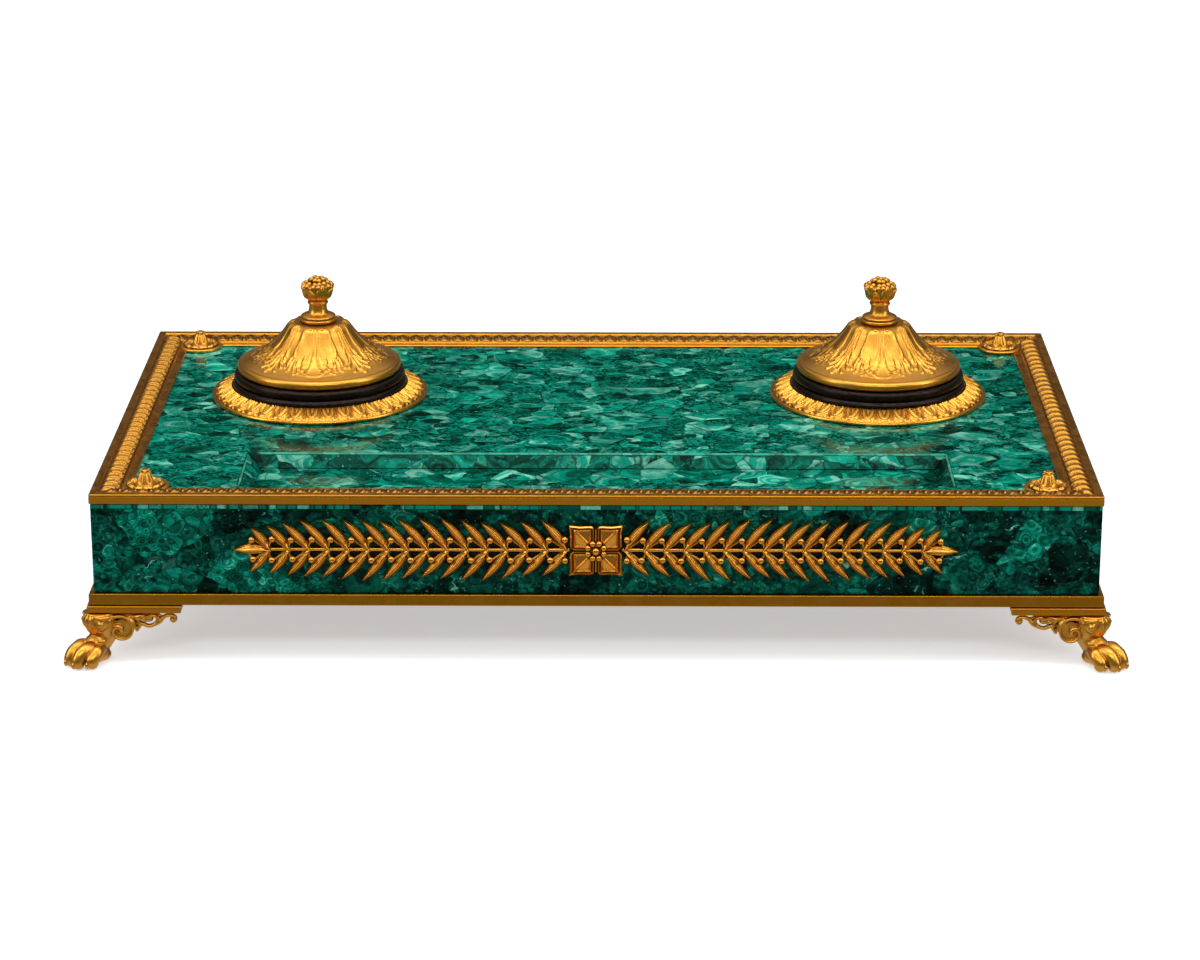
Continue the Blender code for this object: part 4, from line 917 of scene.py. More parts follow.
def spray_skin(trim, node, side, back, level):
    """One laurel branch, with flat black discs of painted shadow behind its gaps, modelled towards +X and
    mirrored for the left side.
    """
    low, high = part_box(node)
    root, end = sorted((abs(low.x), abs(high.x)))
    start = root + 0.0004
    skin = Skin()
    shadow_discs = Skin()
    last = end - trim.pitch * 1.93
    pitch = (last - start) / (trim.pairs - 1)

    def berry(x, rise):
        ball(skin, (x, back - 0.0015, level + rise), (trim.berry,) * 3, rows=12, steps=16)

    def rod(up, points, radii, steps, sides=8):
        """A thin rod. Its points have their depth before the panel and their rise in millimetres."""
        bar(skin, [(x, back - deep * MM, level + up * rise * MM) for x, deep, rise in points],
            np.array(radii) * MM, sides=sides, steps=steps)
    for i in range(trim.pairs):
        foot = start + i * pitch
        shrink = 0.9 + 0.1 * math.sin(math.pi * (i + 1) / trim.pairs)
        shrink *= 1 - 0.2 * ease(np.array(i), trim.pairs - 4, trim.pairs - 1)
        for up in (1, -1):
            wobble = 1 + 0.04 * math.sin(7.3 * i + 1.7 * up)
            tilt = math.radians(48.5) + 0.04 * math.sin(5.1 * i + up)
            flip = Matrix.Scale(up, 4, Vector((0, 0, 1)))
            here = Matrix.Translation((foot, back, level)) @ flip @ Matrix.Rotation(-tilt, 4, "Y")
            laurel_leaf(skin, trim.leaf * shrink * wobble, trim.width, here)
            berry_x = foot + pitch * (0.9 + 0.03 * math.sin(2.9 * i + up))
            high = 4.4 + 0.2 * math.sin(3.7 * i)
            berry(berry_x, up * high * MM)
            rod(up, [(foot + pitch * 0.98, 0.9, 0.4), (foot + pitch * 1.05, 1.0, 1.5),
                     (berry_x + 0.0006, 1.1, high - 0.8)], (0.6, 0.5, 0.55), 9)
            rod(up, [(foot + pitch * 0.28, 0.8, 0.3), (foot + pitch * 0.36, 1.0, 1.7),
                     (foot + pitch * 0.58, 1.1, 3.0), (berry_x - 0.0006, 1.2, high + 0.3)],
                (0.55, 0.5, 0.45, 0.5), 12)
            # Painted shadow: a flat black disc behind the gap between leaf, stalks and stem.
            ball(shadow_discs, (foot + pitch * 0.62, back, level + up * 0.0022), (0.0024, 0.0003, 0.0017))
            rod(up, [(foot - 0.0004, 1.0, 0.2), (foot + 0.0012, 1.5, 1.0), (foot + 0.003, 1.4, 2.1),
                     (foot + 0.0042, 1.2, 2.6)], (0.4, 0.62, 0.5, 0.15), 10)
    for up in (1, -1):
        berry(root + 0.0014, up * 0.0046)
        rod(up, [(root + 0.002, 0.9, 0), (root + 0.0014, 1.0, 3.6)], (0.5, 0.5), 6)
    rod(1, [(root, 0.9, 0), (start + pitch * 5, 1.0, 0), (last, 0.9, 0), (last + pitch * 0.6, 0.7, 0)],
        (0.85, 0.78, 0.7, 0.5), 60, sides=12)
    laurel_leaf(skin, end - last - 0.0004, trim.width * 1.15,
                Matrix.Translation((last + 0.0004, back, level - 0.0003)))
    mirror = Matrix.Scale(side, 4, Vector((1, 0, 0)))
    return skin.transformed(mirror), shadow_discs.transformed(mirror)


def rosette_skin(half, back, level):
    """Four square petals with doubled rims, a ridge on each and clefts between, round a ring of berries."""
    line = np.linspace(-1, 1, 151)
    a, b = np.meshgrid(line, line, indexing="ij")

    def edge(share):
        share = np.abs(share)
        notch = 0.13 * hump(share, 0, 0.1) + 0.02 * hump(share, 0.6, 0.25)
        return 0.97 + 0.03 * share**4 - notch
    x = a * edge(b) * half
    z = b * edge(a) * half
    pa, pb = np.abs(a) * half, np.abs(b) * half
    far = ease(np.maximum(pa, pb), 0.0025, 0.004)
    inner = np.minimum(half - np.maximum(pa, pb), np.minimum(np.clip(pa - 0.0006, 0, half), pb))
    high = 0.0021 + 0.0006 * hump(inner, 0.0005, 0.00034) - 0.0004 * hump(inner, 0.00115, 0.00032)
    high += 0.0005 * hump(inner, 0.0018, 0.0003)
    ridge = np.abs(pa - pb) * 0.7
    panel = ease(inner, 0.0018, 0.0024)
    high += panel * (0.0009 * hump(ridge, 0, 0.00028) + 0.0003 - 0.22 * np.minimum(ridge, 0.0035))
    high -= far * (0.0012 * hump(pb, 0, 0.00024) + 0.0009 * hump(pa, 0.0006, 0.0002))
    high -= 0.0006 * (1 - ease(np.hypot(pa, pb), 0.0038, 0.005))
    front = np.stack([x, back - high, z + level], -1)
    skin = Skin()
    rim = np.concatenate([front[0], front[1:, -1], front[-1, -2::-1], front[-2:0:-1, 0]])
    base = rim.copy()
    base[:, 1] = back
    skin.grid(front)
    skin.grid(np.stack([rim, base]), wrap=True)
    skin.faces.append((np.arange(len(rim)) + skin.count - len(rim)).tolist())
    skin.tags.append(0)
    ball(skin, (0, back - 0.0029, level), (0.0016, 0.0015, 0.0016), rows=12, steps=18)
    for i in range(8):
        angle = TURN * (i + 0.5) / 8
        spot = (0.0035 * math.cos(angle), back - 0.0026, level + 0.0034 * math.sin(angle))
        ball(skin, spot, (0.00128, 0.0013, 0.00128), rows=10, steps=14)
    return skin


class INKSTAND_OT_trim(Operator):
    """Model the laurel sprays and the rosette on the front"""
    bl_idname = "inkstand.trim"
    bl_label = "Laurel sprays and rosette"

    def execute(self, context):
        trim = context.scene.inkstand_trim
        level = node_middle("rosette").z
        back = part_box("malachite_front")[0].y - PROUD
        for name, side in (("left", -1), ("right", 1)):
            skin, shadow_discs = spray_skin(trim, f"laurel_{name}", side, back, level)
            lay("laurel_spray", name, skin, "laurel", "gilt_bronze", "leaf_gilding")
            # The black discs behind the spray are painted shadow.
            lay("spray_painted_shadows", name, shadow_discs, "laurel", "black_patina", "black_finish")
        skin = rosette_skin(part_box("rosette")[1].x, back, level)
        place("petal_rosette", skin.mesh("petal_rosette"), ("leaf_gilding",), ("rosette",))
        return {"FINISHED"}


# Wells: flange, collar, liner and glass pot

def flange_rows(wells, reach, seat, top):
    """Closed section of a flange, its top cut into tongue leaves: a raised loop and a smaller one inside."""
    run = reach - 0.0013 - FLANGE_LIP
    step = 0.0013
    slope = np.linspace(0, 1, 58)
    face = np.column_stack([FLANGE_LIP + run * (1 - slope), seat + step + (top - seat - step) * slope**0.9])
    edge = np.vstack([(FLANGE_BORE, seat),
                      mm([(-0.2, 0), (0, 0.3), (0, 0.9), (-0.3, 1.3), (-1, 1.3)], reach, seat)])
    inner = np.vstack([mm([(-0.1, -0.3)], FLANGE_LIP, top), mm([(-0.1, 1.7)], FLANGE_LIP, seat),
                       mm([(0, 1.7)], FLANGE_BORE, seat)])
    share = np.concatenate([np.full(len(edge), -1.0), slope, np.full(len(inner), -1.0)])[:, None]

    loop = [((0, 0.6), (1.5, 0.95), (2.5, 2.2), (2.95, 4.0), (2.95, 6.0), (2.8, 8.0)),
            (0.46, 0.5), (1.0, 0.9)]
    heart = [((0.3, 2.6), (0.85, 4.4), (1.25, 6.2), (1.4, 8.0)), (0.28, 0.36), (0.75, 0.85)]
    dash = [((0, 0.55), (0.7, 0.6)), (0.34, 0.3), (0.95, 0.8)]

    def relief(radius, height, theta):
        cell = theta / TURN * wells.tongues
        a = np.abs((cell - np.floor(cell)) * 2 - 1)
        half = math.pi / wells.tongues * radius / MM
        down = share * run / MM + 0 * theta
        lines = np.maximum(strokes(a * half, down, (loop, heart)), strokes((1 - a) * half, down, (dash,)))
        gap = hump((1 - a) * half, 0, 0.35) * ease(down, 1.2, 2.4)
        lift = 0.12 * hump(a, 0, 0.6) + lines - 0.3 * gap
        lift = np.where(share < 0, 0, lift * ease(share, -0.01, 0.05) * (1 - 0.7 * ease(share, 0.95, 1)))
        return radius, height + lift * wells.tongue_relief
    return ring_rows(np.vstack([edge, face, inner]), wells.tongues * TONGUE_STEPS, relief)


def collar_outline(low, high, reach, bore):
    """Two black rounds with a deep groove between and a fine step on top."""
    def rounds(*points):
        return [(reach - inset * MM, low + (high - low) * share) for inset, share in points]
    return fine_line(np.vstack([
        spline([(bore + 0.005, low), *rounds((0.6, 0), (0, 0.12), (0, 0.3), (0.8, 0.44))], 26)[6:],
        rounds((2, 0.47), (2, 0.52)),
        spline(rounds((1.2, 0.56), (0.8, 0.68), (0.9, 0.84), (1.4, 0.94), (2.4, 1)), 20),
        mm([(0.2, 0), (0, -0.2)], bore, high), mm([(0, 0.2), (0.2, 0)], bore, low),
    ]), 0.001)


def liner_outline(low, high, reach):
    """A tube with a lip that lies under the collar."""
    return fine_line(np.vstack([
        mm([(0, -0.2), (0, -1.5), (-0.2, -1.7)], reach, high), mm([(34.3, -1.7), (34.2, -2)], 0, high),
        mm([(34.2, 0.4), (33.8, 0), (31.6, 0), (31.2, 0.4)], 0, low),
        mm([(31.2, -0.4), (31.6, 0)], 0, high), mm([(-0.2, 0)], reach, high),
    ]), 0.003)


def pot_outline(low, high):
    """A glass cup with a flat rim to hang by."""
    return np.vstack([
        mm([(0.05, 3), (24, 3.1)], 0, low),
        spline(np.vstack([mm([(26.2, 3.8), (27, 6), (27, 20)], 0, low), mm([(27, -0.8)], 0, high)]), 16),
        curve([(27.4, -0.2), (28.4, 0), (32.2, 0), (32.9, -0.5), (32.9, -1.8), (32.5, -2.2)], 16, 0, high),
        mm([(29.7, -2.2)], 0, high),
        spline(np.vstack([mm([(29.5, -2.6)], 0, high),
                          mm([(29.5, 20), (29.5, 4), (28.7, 0.8), (26, 0)], 0, low)]), 18),
        mm([(0.05, 0.4)], 0, low),
    ])


class INKSTAND_OT_wells(Operator):
    """Model the leafy flanges, the black collars, the brass liners and the glass pots"""
    bl_idname = "inkstand.wells"
    bl_label = "Wells"

    def execute(self, context):
        wells = context.scene.inkstand_wells
        for side in ("left", "right"):
            move = over(f"well_flange_{side}")

            def turned(rows, **ends):
                return Skin().grid(rows, wrap=True, **ends).transformed(move)

            def levels(node):
                return [corner.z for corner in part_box(f"{node}_{side}")]
            rows = flange_rows(wells, half_wide(f"well_flange_{side}"), *levels("well_flange"))
            lay("leaf_flange", side, turned(rows, wrap_rows=True), "well_flange", "gilt_bronze",
                "flange_gilding")
            outline = collar_outline(*levels("well_collar"), half_wide(f"well_collar_{side}"), COLLAR_BORE)
            lay("black_collar", side, turned(ring_rows(outline, 128), wrap_rows=True), "well_collar",
                "black_patina", "black_finish")
            outline = liner_outline(*levels("well_liner"), half_wide(f"well_liner_{side}"))
            lay("brass_liner", side, turned(ring_rows(outline, 96), wrap_rows=True), "well_liner", "brass",
                "turned_brass")
            rows = ring_rows(pot_outline(*levels("ink_pot")), 96)
            lay("glass_pot", side, turned(rows, caps=True), "ink_pot", "glass", "pressed_glass",
                body=f"pot_{side}")
        return {"FINISHED"}


# Lids and finials

def acanthus(radius, theta, side_leaf=45.0):
    """Height share of the lid's leaves: 4 broad ones and 4 slim ones between, by radius in millimetres."""
    r = radius * 1000
    turn = np.degrees(theta) + 90
    a = np.abs((turn + side_leaf) % (2 * side_leaf) - side_leaf)
    b = side_leaf - a
    edge = np.interp(r, (11, 12, 14, 18, 21, 22.3, 23.6, 25.4, 26.2, 27.8, 28.6, 30, 31, 31.9),
                     (13, 19, 25, 28, 29.5, 25, 32, 33, 28.5, 32, 24, 20, 9, 0))
    slim = np.interp(r, (11, 16, 20, 22.2, 23.2, 24.6, 25.4, 27.4, 28.4, 30.4, 31.4, 32.6),
                     (3, 4.5, 6.5, 9.5, 6.5, 10.5, 7.5, 12, 7.5, 9, 4, 0))
    body = 0.16 * (1 - ease(a, edge - 0.8, edge + 0.8)) + 0.16 * (1 - ease(b, slim - 0.7, slim + 0.7))
    across = np.radians(a) * r
    slim_across = np.radians(b) * r
    bulge = 0.75 * np.exp(-((a - 17) / 9.5) ** 4 - ((r - 17) / 4.8) ** 4)
    broad_lines = [
        ([(0.62, 11), (0.7, 16), (0.9, 21), (1.9, 26), (3.2, 29.2)], (0.3, 0.4, 0.3), (0.45, 0.7, 0.5)),
        ([(1.7, 11), (1.9, 15), (2.3, 19.5), (4.4, 24), (6.6, 27.2)], (0.32, 0.42, 0.3), (0.4, 0.6, 0.6)),
        ([(2.9, 19), (4.6, 22), (5.2, 24.4)], (0.3, 0.55, 0.5), (0.4, 0.8, 1.35)),
        ([(3.9, 25), (5.4, 26.2), (5.5, 27.8)], (0.3, 0.5, 0.45), (0.4, 0.8, 1.3)),
        ([(2.2, 27), (3.6, 28), (3.7, 29.4)], (0.3, 0.42, 0.4), (0.4, 0.7, 1.1)),
        ([(4.8, 20.5), (7.4, 23), (8.3, 25.6)], (0.3, 0.5, 0.45), (0.4, 0.7, 1.2)),
        ([(6.0, 20), (9.0, 24), (9.9, 28.8)], (0.25, 0.35, 0.3), (0.45, 0.6, 0.5)),
        ([(6.6, 20), (10.6, 24), (12.2, 28.4)], (0.25, 0.35, 0.3), (0.4, 0.6, 0.5)),
        ([(5.4, 20.4), (7.4, 25), (7.6, 29.4)], (0.25, 0.35, 0.3), (0.4, 0.6, 0.6)),
        ([(7.0, 19.6), (10.6, 22), (12.6, 25.4)], (0.25, 0.4, 0.5), (0.4, 0.7, 1.2)),
        ([(5.0, 12.6), (6.9, 16), (9.2, 19.6), (9.4, 21.9)], (0.35, 0.45, 0.5), (0.3, 0.6, 1.3)),
        ([(4.2, 28.6), (2.6, 30.6), (0, 31.3)], (0.35, 0.3, 0.3), (0.8, 0.7, 0.8)),
    ]
    dots = [((x, y), size, tall) for x, y, size, tall in (
        (10.2, 21.6, 0.55, 1.35), (11.6, 23.4, 0.5, 1.2), (13.0, 25.0, 0.5, 1.2), (14.4, 27.0, 0.5, 1.2),
        (13.2, 29.0, 0.45, 1.0), (9.6, 30.2, 0.45, 0.9), (2.9, 30.2, 0.35, 0.9), (1.6, 31.1, 0.35, 0.9))]
    slim_lines = [
        ([(0.5, 11), (0.62, 16), (0.75, 22), (1.1, 27), (1.6, 30.6)], (0.3, 0.42, 0.35), (0.7, 1.0, 0.7)),
        ([(1.7, 12.5), (2.0, 17), (2.8, 21), (3.5, 22.4)], (0.25, 0.35, 0.5), (0.45, 0.6, 1.3)),
        ([(1.2, 18), (2.7, 22), (4.2, 24.8)], (0.25, 0.4, 0.5), (0.4, 0.7, 1.3)),
        ([(1.2, 22), (3.0, 25), (5.4, 27.6)], (0.25, 0.4, 0.5), (0.4, 0.7, 1.3)),
        ([(1.5, 26), (2.8, 28.4), (4.4, 30.4)], (0.25, 0.4, 0.45), (0.4, 0.7, 1.2)),
        ([(0.4, 28), (0.5, 30), (0.3, 32)], (0.3, 0.4, 0.4), (0.5, 0.7, 1.0)),
    ]
    lines = np.maximum(strokes(across, r, broad_lines), strokes(slim_across, r, slim_lines))
    lines = np.minimum(lines, 0.55 + 0.35 * lines)
    for (x, y), size, tall in dots:
        lines = np.maximum(lines, 0.6 * tall * np.exp(-((across - x) ** 2 + (r - y) ** 2) / size**2))
    veins = 0.06 * np.cos(across * 6.5 + r * 0.9) * ease(r, 20, 23) * (1 - ease(a, edge - 2, edge))
    punch = 0.7 * np.exp(-((across - 2.6) ** 2 + (r - 12.9) ** 2) / 0.12)
    lift = body + np.maximum(bulge, lines) + veins - punch
    return lift * ease(r, 9.6, 11.6) * (1 - ease(r, 32.4, 33.0))


def lid_rows(wells, low, top, reach):
    """Closed section of a hollow domed lid with leaves on its outer side."""
    bore = mm([(1.8, -2), (1.8, 0)], 0, top)
    button = curve([(7.6, 0), (8.2, -0.3), (8.3, -1), (8, -1.6), (7.6, -1.9)], 10, 0, top)
    dome = curve([(8.6, -2), (11.6, -2.1), (13.7, -3.4), (16, -6.6), (18.8, -10), (22.2, -13.3),
                  (26, -16.2), (30, -18.3), (33.9, -19.7)], 170, 0, top)
    rim = curve([(-2.2, 3.7), (-1.2, 3.8), (-0.3, 3), (0, 1.7), (-0.4, 0.4), (-1, 0)], 22, reach, low)
    under = mm([(32.7, 0), (32.7, -2.8), (32.5, -3), (31.3, -3), (31.2, -2.8), (31.2, 2.4)], 0, low)
    inside = curve([(30.5, 3.2), (26, 5.2), (18.5, 10.8), (13, 17.2), (10.5, 19.8), (8.5, 21.2)], 30, 0, low)
    outline = np.vstack([bore, button, dome, rim, under, inside])
    first = len(bore) + len(button)

    def relief(radius, height, theta):
        leafy = np.zeros_like(radius)
        leafy[first:first + len(dome)] = 1
        lift = acanthus(radius, theta) * leafy * wells.lid_relief
        slope = np.gradient(outline, axis=0)
        slope /= np.maximum(np.linalg.norm(slope, axis=1), 1e-9)[:, None]
        return radius - lift * slope[:, 1:], height + lift * slope[:, :1]
    return ring_rows(outline, LID_STEPS, relief)


def finial_skin(low, top, reach):
    """Disc, waisted neck, ring and a cup of leaves that curl out round a cluster of berries."""
    outline = np.vstack([
        mm([(AXIS, -4.8), (1.5, -4.8), (1.5, 0)], 0, low), mm([(-0.2, 0)], reach, low),
        spline(np.vstack([mm([(0, 0.2), (-0.1, 0.7)], reach, low),
                          mm([(6.6, 1.3), (5, 1.8), (4.2, 3.4), (3.9, 5.6)], 0, low)]), 28),
        curve([(4.2, 5.9), (4.6, 6.4), (4.6, 6.9), (4.2, 7.4)], 10, 0, low),
        curve([(4.1, 7.6), (4.8, 8.3), (6, 9.7), (6.6, 11.4), (6.8, 13.1), (7, 14.6)], 54, 0, low),
        curve([(6.6, 15.1), (5.4, 15.5), (3, 16.2), (AXIS, 16.6)], 18, 0, low),
    ])
    leaves = 8

    def relief(radius, height, theta):
        rise = height - low
        cell = theta / TURN * leaves
        number = np.floor(cell)
        a = np.abs((cell - number) * 2 - 1)
        tip = 0.0138 + 0.0012 * np.sin(number * 2.3)
        cup = ease(rise, 0.008, 0.0094) * (radius > 0.004)
        edge = 0.95 - 0.75 * ease(rise, tip - 0.003, tip + 0.001)
        leaf = 1 - ease(a, edge - 0.1, edge + 0.1)
        vein = hump(a, 0, 0.14) + 0.6 * hump(a, 0.42 * edge + 0.05, 0.12)
        curl = 0.0006 * hump(rise, tip, 0.0009) * leaf
        swell = cup * (leaf * (0.00022 + 0.00026 * vein) - 0.00028 * (1 - leaf)) + curl
        return np.clip(radius + swell, AXIS * MM, reach), height
    skin = Skin().grid(ring_rows(outline, 192, relief), wrap=True, caps=True)
    ball(skin, (0, 0, top - 0.0013), (0.0013,) * 3, rows=10, steps=14)
    for count, away, drop, size in ((6, 0.0025, 0.0018, 0.0014), (10, 0.0046, 0.003, 0.0014),
                                    (13, 0.006, 0.0046, 0.0013)):
        for i in range(count):
            angle = TURN * (i + 0.3 * math.sin(5 * i + count)) / count
            height = max(top - drop + 0.0003 * math.sin(7 * i), low + 0.0147)
            spot = (away * math.cos(angle), away * math.sin(angle), height)
            ball(skin, spot, (size,) * 3, rows=9, steps=12)
    return skin


class INKSTAND_OT_lids(Operator):
    """Model the leafy domed lids and their bud finials"""
    bl_idname = "inkstand.lids"
    bl_label = "Lids and finials"

    def execute(self, context):
        wells = context.scene.inkstand_wells
        for side in ("left", "right"):
            move = over(f"finial_nut_{side}")
            low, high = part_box(f"lid_{side}")
            rows = lid_rows(wells, low.z + 0.003, high.z, half_wide(f"lid_{side}"))
            skin = Skin().grid(rows, wrap=True, wrap_rows=True).transformed(move)
            lay("leaf_lid", side, skin, "lid", "gilt_bronze", "burnished_gilding", body=f"lid_{side}")
            skin = finial_skin(high.z + 0.0003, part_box(f"finial_{side}")[1].z, 0.0078).transformed(move)
            lay("bud_finial", side, skin, "finial", "gilt_bronze", "burnished_gilding", body=f"lid_{side}")
        return {"FINISHED"}


# Lion-paw feet

def paw_skin(feet, tall):
    """Leg and paw, in millimetres outwards on the corner's diagonal, across it and up."""
    skin = Skin()

    def spot(u, v, z):
        return np.array((-u - v, -u + v, 0)) / math.sqrt(2) + (0, 0, z)

    def limb(points, radii, *grain):
        """A bar. Its grain is how many sides and steps it has."""
        bar(skin, [spot(*p) * MM for p in points], np.array(radii) * MM, *grain)

    def lump(u, v, z, radii):
        ball(skin, spot(u, v, z) * MM, np.array(radii) * MM, turn=math.radians(225))

    def cord(points, radii, *grain):
        """A limb laid on the knee, through points of turn, height and lift."""
        heights, reaches = (9, 12, 14.4, 16.5, 18.6, 20.4, 22), (3.9, 4.6, 5.8, 6.7, 7.2, 6.9, 6.2)
        line = []
        for turn, z, lift in points:
            reach = np.interp(z, heights, reaches) + lift
            turn = math.radians(turn)
            line.append((-3.3 + reach * math.cos(turn), reach * math.sin(turn), z))
        limb(line, radii, *grain)
    toe = feet.toe * 1000
    lump(2.6, 0, 4.4, (7.6, 7.2, 4.3))
    lump(-2.4, 0, 3.0, (4.4, 5.2, 3.0))
    for across, far, rise in ((-6.3, 6.6, -0.9), (-2.55, 10.9, 0.2), (2.55, 10.9, 0.2), (6.3, 6.6, -0.9)):
        limb([(-0.6, across * 0.5, 6.8 + rise), (far * 0.42, across * 0.86, 7.6 + rise),
              (far - 2.2, across * 0.98, 6.6 + rise), (far, across, 3.9), (far - 0.1, across, 2.7)],
             [toe * 0.9, toe, toe * 1.02, toe, toe * 0.93], 22, 28)
        limb([(far + toe * 0.6, across, 3.6), (far + toe * 0.98, across * 1.01, 2.5),
              (far + toe * 0.92, across, 1.2)], [0.75, 0.95, 0.5], 12, 10)
        limb([(far + toe * 0.35, across - 1.0, 4.3), (far + toe * 0.72, across, 4.7),
              (far + toe * 0.35, across + 1.0, 4.3)], [0.3, 0.4, 0.3], 10, 10)
    limb([(1.4, 0, 6.6), (-1.8, 0, 8.8), (-3.8, 0, 11.0), (-4.0, 0, 13.0), (-3.6, 0, 15.6), (-3.3, 0, 18.4),
          (-3.3, 0, tall - 1.4)], [4.8, 4.7, 4.7, 5.5, 6.6, 7.2, 6.6], 32, 46)
    limb([(-5.0, 0, 6.0), (-7.2, 0, 10.0), (-8.4, 0, 14.0), (-8.6, 0, 20.0)], [2.6, 3.6, 4.6, 5.4], 24)
    limb([(-1.4, 4.3, 9.7), (1.2, 3.0, 9.9), (2.0, 0, 10.2), (1.2, -3.0, 9.9), (-1.4, -4.3, 9.7)],
         [0.5, 0.9, 1.1, 0.9, 0.5], 14, 24)
    for turn, foot, size in ((0, 13.0, 0.75), (-13, 14.0, 0.6), (13, 14.0, 0.6)):
        cord([(turn * 0.6, foot, -0.3), (turn, 16.6, 0.05), (turn * 1.25, 19.2, 0.1),
              (turn * 1.1, 21.2, -0.2)], [0.35, size, size * 1.1, 0.5], 12, 22)
    for side in (-1, 1):
        cord([(side * 25, 20.6, 0.1), (side * 31, 17.6, 0.1), (side * 44, 15.2, 0.1), (side * 58, 14.6, 0.1),
              (side * 74, 15.8, 0.1), (side * 88, 19.2, 0.0)], [0.5, 0.65, 0.7, 0.7, 0.65, 0.5],
             12, 34)
        cord([(side * 42, 19.4, -0.6), (side * 52, 18.0, -0.5), (side * 62, 18.9, -0.8)],
             [1.0, 1.7, 1.0], 16, 16)
        cord([(side * 38, 20.9, 0.1), (side * 60, 20.7, 0.3), (side * 84, 20.8, 0.2)],
             [0.6, 0.8, 0.6], 12, 16)
    return skin


def wing_skin():
    """The scrolled wing along the corner's X side, with its volute, leaf, pierced scroll and end curl."""
    skin = Skin()

    def strand(points, radii, depth=0.6, deep=1.5, steps=30):
        bar(skin, np.array([(x, depth, z) for x, z in points]) * MM, np.array(radii) * MM,
            steps=steps, deep=deep)
    rows = ring_rows(mm([(0.1, 0.5), (4.3, 0.5), (4.6, 0.2), (4.6, -2.4), (0.1, -2.4)]), 44)
    rows = np.stack([rows[..., 0], -rows[..., 2], rows[..., 1]], -1) + np.array((11.9, 0.0, 14.5)) * MM
    skin.grid(rows, wrap=True, caps=True)
    strand([(7.0, 19.6), (9.2, 20.4), (12.2, 20.4), (14.8, 19.0), (16.2, 16.4), (16.0, 13.4), (14.3, 11.0),
            (11.6, 10.2), (9.0, 11.2), (7.9, 13.5), (8.5, 15.4), (10.1, 16.0), (11.3, 15.2), (11.4, 13.9)],
           [0.8, 0.8, 0.75, 0.7, 0.6, 0.55, 0.55, 0.6, 0.7, 0.85, 1.0, 1.1, 1.1, 0.9],
           -1.0, 1.1, 90)
    strand([(2.0, 20.7), (8.0, 20.6), (14.0, 20.6), (20.0, 20.6)], [1.3, 1.4, 1.4, 1.0], 1.6)
    strand([(14.6, 20.0), (16.4, 18.0), (17.2, 15.6), (17.8, 13.8)], [1.0, 0.8, 0.7, 0.55], 0.2)
    strand([(16.6, 20.2), (18.6, 18.4), (19.2, 16.2), (18.1, 13.9)], [0.8, 0.8, 0.8, 0.55], 0.4)
    strand([(16.8, 19.4), (17.8, 17.4), (18.0, 15.0)], [1.6, 1.4, 0.8], 1.9, 1.0)
    strand([(15.6, 20.4), (18.6, 20.0), (20.6, 19.0), (21.6, 18.0)], [0.7, 0.95, 0.8, 0.4], 0.1)
    strand([(17.6, 20.6), (20.4, 20.6), (22.0, 20.0)], [0.6, 0.75, 0.4], 0.0)
    strand([(18.6, 17.2), (20.6, 16.7), (22.4, 15.9), (24.2, 16.1), (26.0, 17.2), (26.7, 19.0), (25.6, 20.4),
            (23.8, 20.7), (22.6, 19.8)], [0.9, 0.9, 0.85, 0.85, 0.85, 0.85, 0.8, 0.8, 0.7], 0.5, 1.5, 60)
    strand([(22.7, 19.0), (23.5, 19.1)], [1.4, 1.4], 0.7, 1.2, 6)
    strand([(25.6, 16.6), (27.6, 17.8), (29.4, 19.9), (31.6, 20.7), (33.6, 20.2), (34.1, 18.9), (33.2, 18.1),
            (32.4, 18.8)], [0.85, 0.95, 0.9, 0.85, 0.85, 0.85, 0.85, 0.8], 0.5, 1.5, 50)
    strand([(26.4, 20.8), (28.0, 20.2), (29.4, 19.9)], [0.4, 0.6, 0.5], 0.9, 1.2)
    strand([(19.4, 20.9), (24.0, 21.2), (27.0, 21.2)], [0.7, 0.6, 0.4], 1.4, 1.2)
    return skin


def foot_mesh(feet, tall):
    """Fuse the foot's forms as one casting, with the frame's corner at its origin."""
    skin = paw_skin(feet, tall * 1000)
    wing = wing_skin()
    skin.join(wing, Matrix.Identity(4))
    skin.join(wing, Matrix(((0, 1, 0, 0), (1, 0, 0, 0), (0, 0, 1, 0), (0, 0, 0, 1))))
    plate = np.array([(0.0012, tall - 0.0016), (0.021, tall - 0.0016), (0.021, tall), (0.0012, tall)])
    skin.grid([[(x, y, z) for x, z in plate] for y in (0.0012, 0.021)], wrap=True, caps=True)
    pattern = bpy.data.objects.new("foot_pattern", skin.mesh("foot_pattern"))
    bpy.context.scene.collection.objects.link(pattern)
    remesh = pattern.modifiers.new("fuse", "REMESH")
    remesh.mode = "VOXEL"
    remesh.voxel_size = feet.voxel
    smooth = pattern.modifiers.new("soften", "SMOOTH")
    smooth.iterations = 3
    smooth.factor = 0.5
    thin = pattern.modifiers.new("thin_out", "DECIMATE")
    thin.ratio = 0.36
    bpy.context.view_layer.update()
    view = bpy.context.evaluated_depsgraph_get()
    mesh = bpy.data.meshes.new_from_object(pattern.evaluated_get(view))
    bpy.data.objects.remove(pattern)
    points = np.zeros(len(mesh.vertices) * 3)
    mesh.vertices.foreach_get("co", points)
    points = points.reshape(-1, 3)
    points[:, 2] = np.clip(points[:, 2], 0, tall)
    mesh.vertices.foreach_set("co", points.ravel())
    mesh.shade_smooth()
    return mesh


